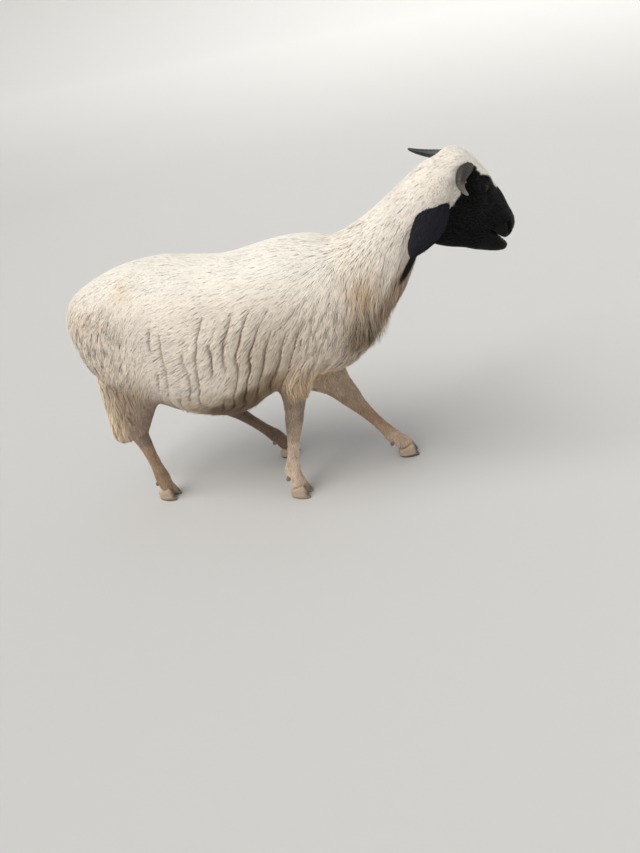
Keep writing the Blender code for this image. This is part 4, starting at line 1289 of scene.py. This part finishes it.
def lids(side, name):
    """Lids: from the almond's edge over the eyeball, with a fold, and down under the skin."""
    centre, axis, level, up = eye_frame(side)
    around, steps = 128, 30
    theta = full_turn(around)
    edge_x = LID_HALF * np.cos(theta)
    edge_y = np.where(np.sin(theta) > 0, LID_UPPER, LID_LOWER) * np.sin(theta)
    edge_y = edge_y * (1 - 0.18 * np.cos(theta) ** 2) - 0.0012 * np.cos(theta)
    reach = np.hypot(edge_x, edge_y)
    outside = []
    for v in np.arange(steps + 1) / steps:
        widened = 1 + (LID_REACH / reach - 1) * v ** 1.15
        a, b = edge_x * widened, edge_y * widened
        ball = EYE_RADIUS + profile(v, LID_FOLDS) + 0.0003 * np.sin(theta * 3 + v * 4)
        height = np.sqrt(np.maximum(ball ** 2 - a ** 2 - b ** 2, 0.0))
        outside.append(centre + np.outer(a, level) + np.outer(b, up) + np.outer(height, axis))
    inside = [centre + (ring - centre) * (1 - LID_WALL / EYE_RADIUS) for ring in outside[::-1]]
    count = len(outside) + len(inside)
    faces = []
    for i in range(count):
        faces += band(i * around, (i + 1) % count * around, around)
    data = face_mesh(name, np.vstack(outside + inside), faces)
    from_edge = np.minimum(np.arange(count), count - 1 - np.arange(count))
    paler = LID_RIM_PALER * np.exp(-(from_edge / 2.0) ** 2)
    store(data, "coat_colour", np.repeat(BLACK[None] * 1.2 + paler[:, None], around, axis=0))
    add_piece(name, data, EAR_SKIN)


def ear(side, name):
    """A hanging leaf, cupped and a little wavy at its edge, with a blunt tip and short hair on it."""
    along, face = (direction(way) for way in EAR_HANG[side])
    face = direction(face - along * face.dot(along))
    across = np.cross(face, along)
    root = from_head(mirrored(EAR_ROOT, side))
    steps, around = 64, 72
    angle = full_turn(around)
    lean = np.cos(angle)
    rings = []
    for t in np.arange(steps + 1) / steps:
        bulge = math.sin(math.pi * min(1.0, 0.12 + 0.88 * t)) ** 0.74
        half = 0.5 * EAR_WIDTH * max(bulge, 0.10 * (1 - t) ** 0.5 + 0.04)
        half = half * np.where(lean * side < 0, profile(t, EAR_REAR), 1.0)
        thick = 0.5 * EAR_THICKNESS * (1.35 - 0.75 * t) * (1 - 0.55 * lean ** 2)
        cup = -EAR_CUP * half * lean ** 2 - 0.10 * half * np.abs(lean) ** 6
        wave = 0.0016 * np.sin(t * 9.0 + lean * 1.5) * lean ** 2
        ridge = (1 - t) * (0.0010 * np.exp(-((lean - 0.15) / 0.10) ** 2) + 0.0006 * np.sin(lean * 14 + 3 * t))
        height = thick * np.sin(angle) + cup + wave + ridge * np.sign(np.sin(angle))
        centre = root + along * (EAR_LENGTH * t) + face * (EAR_BEND * math.sin(math.pi * t))
        rings.append(centre + np.outer(half * lean, across) + np.outer(height, face))
    data = ring_mesh(name, rings)
    thing = add_stand_in(name, data, EAR_SKIN)
    points, normals = mesh_arrays(data)
    inner = (normals @ face) < -0.25
    tone = np.where(inner[:, None], EAR_INSIDE, EAR_BLACK)
    store(data, "coat_colour", tone)
    lie = along + np.outer(0.5 * ((points - root) @ across) / EAR_WIDTH, across)
    ground = Ground(thing, laid_along(lie, normals))
    short_hair(ground, name + "_hair", BLACK_HAIR, 0.0065, 0.0011,
               np.where(inner, 25000.0, 150000.0), 0.0008, lambda roots, first: tone[first] * 1.15, 0.15)


def horn(side, name):
    """A short horn, ringed at its root and smooth at its tip."""
    a, b, c, d = (from_head(mirrored(place, side)) for place in HORN_CURVE[side])
    steps, around = 110, 40
    angle = full_turn(around)
    rings, shares = [], []
    for t in np.arange(steps + 1) / steps:
        s = 1 - t
        centre = a * s ** 3 + b * (3 * s * s * t) + c * (3 * s * t * t) + d * t ** 3
        along = direction((b - a) * (s * s) + (c - b) * (2 * s * t) + (d - c) * (t * t))
        across = direction(np.cross(along, (0.0, 0.0, 1.0)))
        up = np.cross(across, along)
        beat = 0.5 + 0.5 * math.cos(2 * math.pi * HORN_RINGS * t ** 0.9 + 0.7 * math.sin(11 * t))
        ridge = 1 + 0.065 * (beat ** 2 - 0.4) * (1 - smoothstep(0.55, 0.95, t))
        grain = 1 + 0.012 * np.sin(7 * angle + 3 * t) + 0.008 * np.sin(17 * angle - 5 * t)
        radius = (HORN_RADIUS * s ** 0.62 + HORN_TIP) * ridge * grain * 0.985
        wide, high = radius * np.cos(angle), radius * np.sin(angle) * HORN_FLATNESS
        rings.append(centre + np.outer(wide, across) + np.outer(high, up))
        shares.append(t - 0.03 * beat)
    data = ring_mesh(name, rings)
    store(data, "along", np.concatenate([np.repeat(shares, around), (shares[0], shares[-1])]))
    add_stand_in(name, data, HORNS[side])


def claw(foot, side, name):
    """One claw: a flat sole, a steep toe, a wall with growth lines and a top that slopes down to the heel."""
    x, y, heading = FEET[foot]
    steps, around = 26, 56
    angle = full_turn(around)
    forward = np.cos(angle)
    rings, tones = [], []
    for h in np.arange(steps + 1) / steps:
        share = 1 - (1 - CLAW_TOP_SHARE) * h
        line = 1 + 0.014 * math.cos(2 * math.pi * 7 * h + 0.5) * (1 - 0.4 * h)
        tuck = (0.94 + 0.06 * min(1.0, h / 0.10)) * line
        taper = 1 - 0.30 * np.maximum(0.0, forward) ** 2
        half_length = 0.5 * CLAW_LENGTH * share * tuck
        half_width = 0.5 * CLAW_WIDTH * (1 - 0.10 * h) * tuck * taper
        px = half_length * forward - 0.5 * CLAW_LENGTH * (1 - share)
        py = half_width * np.sign(np.sin(angle)) * np.abs(np.sin(angle)) ** 0.8
        slope = np.clip(0.5 + px / (CLAW_LENGTH * CLAW_TOP_SHARE) + 0.5 * (1 - CLAW_TOP_SHARE), 0, 1)
        top = CLAW_HEEL_HEIGHT + (CLAW_TOE_HEIGHT - CLAW_HEEL_HEIGHT) * slope
        rings.append(np.column_stack([px, py, top * h]))
        toe = smoothstep(0.35, 0.85, px / (0.5 * CLAW_LENGTH)) * smoothstep(0.08, 0.25, h)
        # the toe is dark, and the bottom of the wall has painted shade towards the floor
        dark = np.maximum(toe * CLAW_DARKNESS[foot], smoothstep(0.30, 0.10, h) * SOLE_PAINTED_SHADE[foot])
        top_share = np.full(around, smoothstep(0.55, 0.95, h))
        tones.append(mix(mix(CLAW_PALE, CLAW_TOP, top_share), CLAW_DARK, dark))
    data = ring_mesh(name, rings)
    spread = Matrix.Rotation(side * CLAW_SPREAD, 4, "Z")
    apart = Matrix.Translation((0, side * 0.5 * (CLAW_WIDTH + CLAW_SPLIT), 0))
    on_floor = Matrix.Translation((x + BODY_ORIGIN[0], y + BODY_ORIGIN[1], 0))
    data.transform(on_floor @ Matrix.Rotation(math.radians(heading), 4, "Z") @ apart @ spread)
    store(data, "coat_colour", np.vstack([*tones, CLAW_PALE, CLAW_PALE]))
    add_stand_in(name, data, HOOF)


def dewclaw(foot, side, name):
    """A small cone with a round tip behind the fetlock."""
    fetlock, coronet = (np.array(place) + BODY_ORIGIN for place in PASTERNS[foot])
    heading = math.radians(FEET[foot][2])
    back = np.array((-math.cos(heading), -math.sin(heading), 0.0))
    left = np.array((-math.sin(heading), math.cos(heading), 0.0))
    root = fetlock + (coronet - fetlock) * 0.22 + back * 0.010 + left * (side * 0.011)
    along = direction(direction(coronet - fetlock) * 0.72 + back * 0.70)
    across = direction(np.cross(along, left))
    steps, around = 18, 24
    angle = full_turn(around)
    rings = []
    for t in np.arange(steps + 1) / steps:
        rounding = math.sqrt(max(0.06, 1 - (max(0.0, t - 0.72) / 0.28) ** 2))
        radius = DEWCLAW_RADIUS * (1 - 0.45 * t * t) * rounding * (1 + 0.02 * math.cos(2 * math.pi * 6 * t))
        ring = np.outer(radius * np.cos(angle), left) + np.outer(radius * np.sin(angle), across)
        rings.append(root + along * (DEWCLAW_LENGTH * t) + ring)
    data = ring_mesh(name, rings)
    store(data, "coat_colour", np.repeat(DEWCLAW[None], len(data.vertices), axis=0))
    add_stand_in(name, data, HOOF)


# ----------------------------------------------------------------------------------------------------
# Stage, light and camera

def stage():
    """A round floor that rises into a wall like a bowl; the wall is paler than the floor."""
    material, tree, shader = new_material("floor")
    paint = tree.nodes.new("ShaderNodeRGB")
    paint.outputs["Color"].default_value = FLOOR_PAINT
    split = tree.nodes.new("ShaderNodeSeparateXYZ")
    tree.links.new(texture_place(tree), split.inputs["Vector"])
    paler = ranged(tree, split.outputs["Z"], 1.0, 1.4)
    tree.links.new(times(tree, paint.outputs["Color"], paler), shader.inputs["Base Color"])
    shader.inputs["Roughness"].default_value = 0.9
    points = [(0.0, 0.0, 0.0)]
    for radius, height in FLOOR_PROFILE:
        points += [(radius * math.cos(a), radius * math.sin(a), height) for a in full_turn(FLOOR_SEGMENTS)]
    faces = [(0, 1 + k, 1 + (k + 1) % FLOOR_SEGMENTS) for k in range(FLOOR_SEGMENTS)]
    for low in range(1, len(points) - FLOOR_SEGMENTS, FLOOR_SEGMENTS):
        faces += [face[::-1] for face in band(low, low + FLOOR_SEGMENTS, FLOOR_SEGMENTS)]
    data = bpy.data.meshes.new("floor")
    data.from_pydata(points, [], faces)
    data.shade_smooth()
    data.materials.append(material)
    floor = bpy.data.objects.new("floor", data)
    bpy.context.scene.collection.objects.link(floor)


def lights():
    """A bright overcast sky with a wide, soft sun."""
    world = bpy.data.worlds.new("world")
    bpy.context.scene.world = world
    world.use_nodes = True
    world.node_tree.nodes["Background"].inputs["Color"].default_value = SKY_COLOUR
    world.node_tree.nodes["Background"].inputs["Strength"].default_value = SKY_STRENGTH
    lamp = bpy.data.lights.new("key", "SUN")
    lamp.energy = SUN_STRENGTH
    lamp.angle = SUN_WIDTH
    lamp.color = SUN_COLOUR
    key = bpy.data.objects.new("key", lamp)
    key.rotation_euler = Vector(SUN_FROM).to_track_quat("Z", "Y").to_euler()
    bpy.context.scene.collection.objects.link(key)
    bpy.context.scene.view_settings.view_transform = "Standard"


def camera():
    """The photo's camera: its place, the way it looks and its lens."""
    flat = math.cos(CAMERA_ELEVATION)
    back = Vector((math.sin(CAMERA_AZIMUTH) * flat, -math.cos(CAMERA_AZIMUTH) * flat,
                   math.sin(CAMERA_ELEVATION)))
    right = (-back).cross(Vector((0, 0, 1))).normalized()
    up = right.cross(-back)
    turned_right = right * math.cos(CAMERA_ROLL) - up * math.sin(CAMERA_ROLL)
    turned_up = up * math.cos(CAMERA_ROLL) + right * math.sin(CAMERA_ROLL)
    lens = bpy.data.cameras.new("camera")
    lens.sensor_fit = "VERTICAL"
    lens.sensor_height = CAMERA_SENSOR
    lens.lens = CAMERA_LENS
    lens.clip_end = 200.0
    thing = bpy.data.objects.new("camera", lens)
    turn = Matrix((turned_right, turned_up, back)).transposed().to_4x4()
    thing.matrix_world = Matrix.Translation(Vector(CAMERA_PLACE) + Vector(BODY_ORIGIN)) @ turn
    bpy.context.scene.collection.objects.link(thing)
    bpy.context.scene.camera = thing


# ----------------------------------------------------------------------------------------------------
# The sheep

hide, body_weights, hair_depth, blackness = build_skin()
wool(hide, body_weights, hair_depth, blackness)
hair_of_face_and_legs(hide, body_weights, blackness)
for side, word in ((1, "right"), (-1, "left")):
    eyeball(side, f"eye_{word}")
    lids(side, f"lids_eye_{word}")
    ear(side, f"ear_{word}")
    horn(side, f"horn_{word}")
for foot in FEET:
    for side, word in ((-1, "right"), (1, "left")):
        claw(foot, side, f"claw_{foot}_{word}")
        dewclaw(foot, side, f"dewclaw_{foot}_{word}")
stage()
lights()
camera()
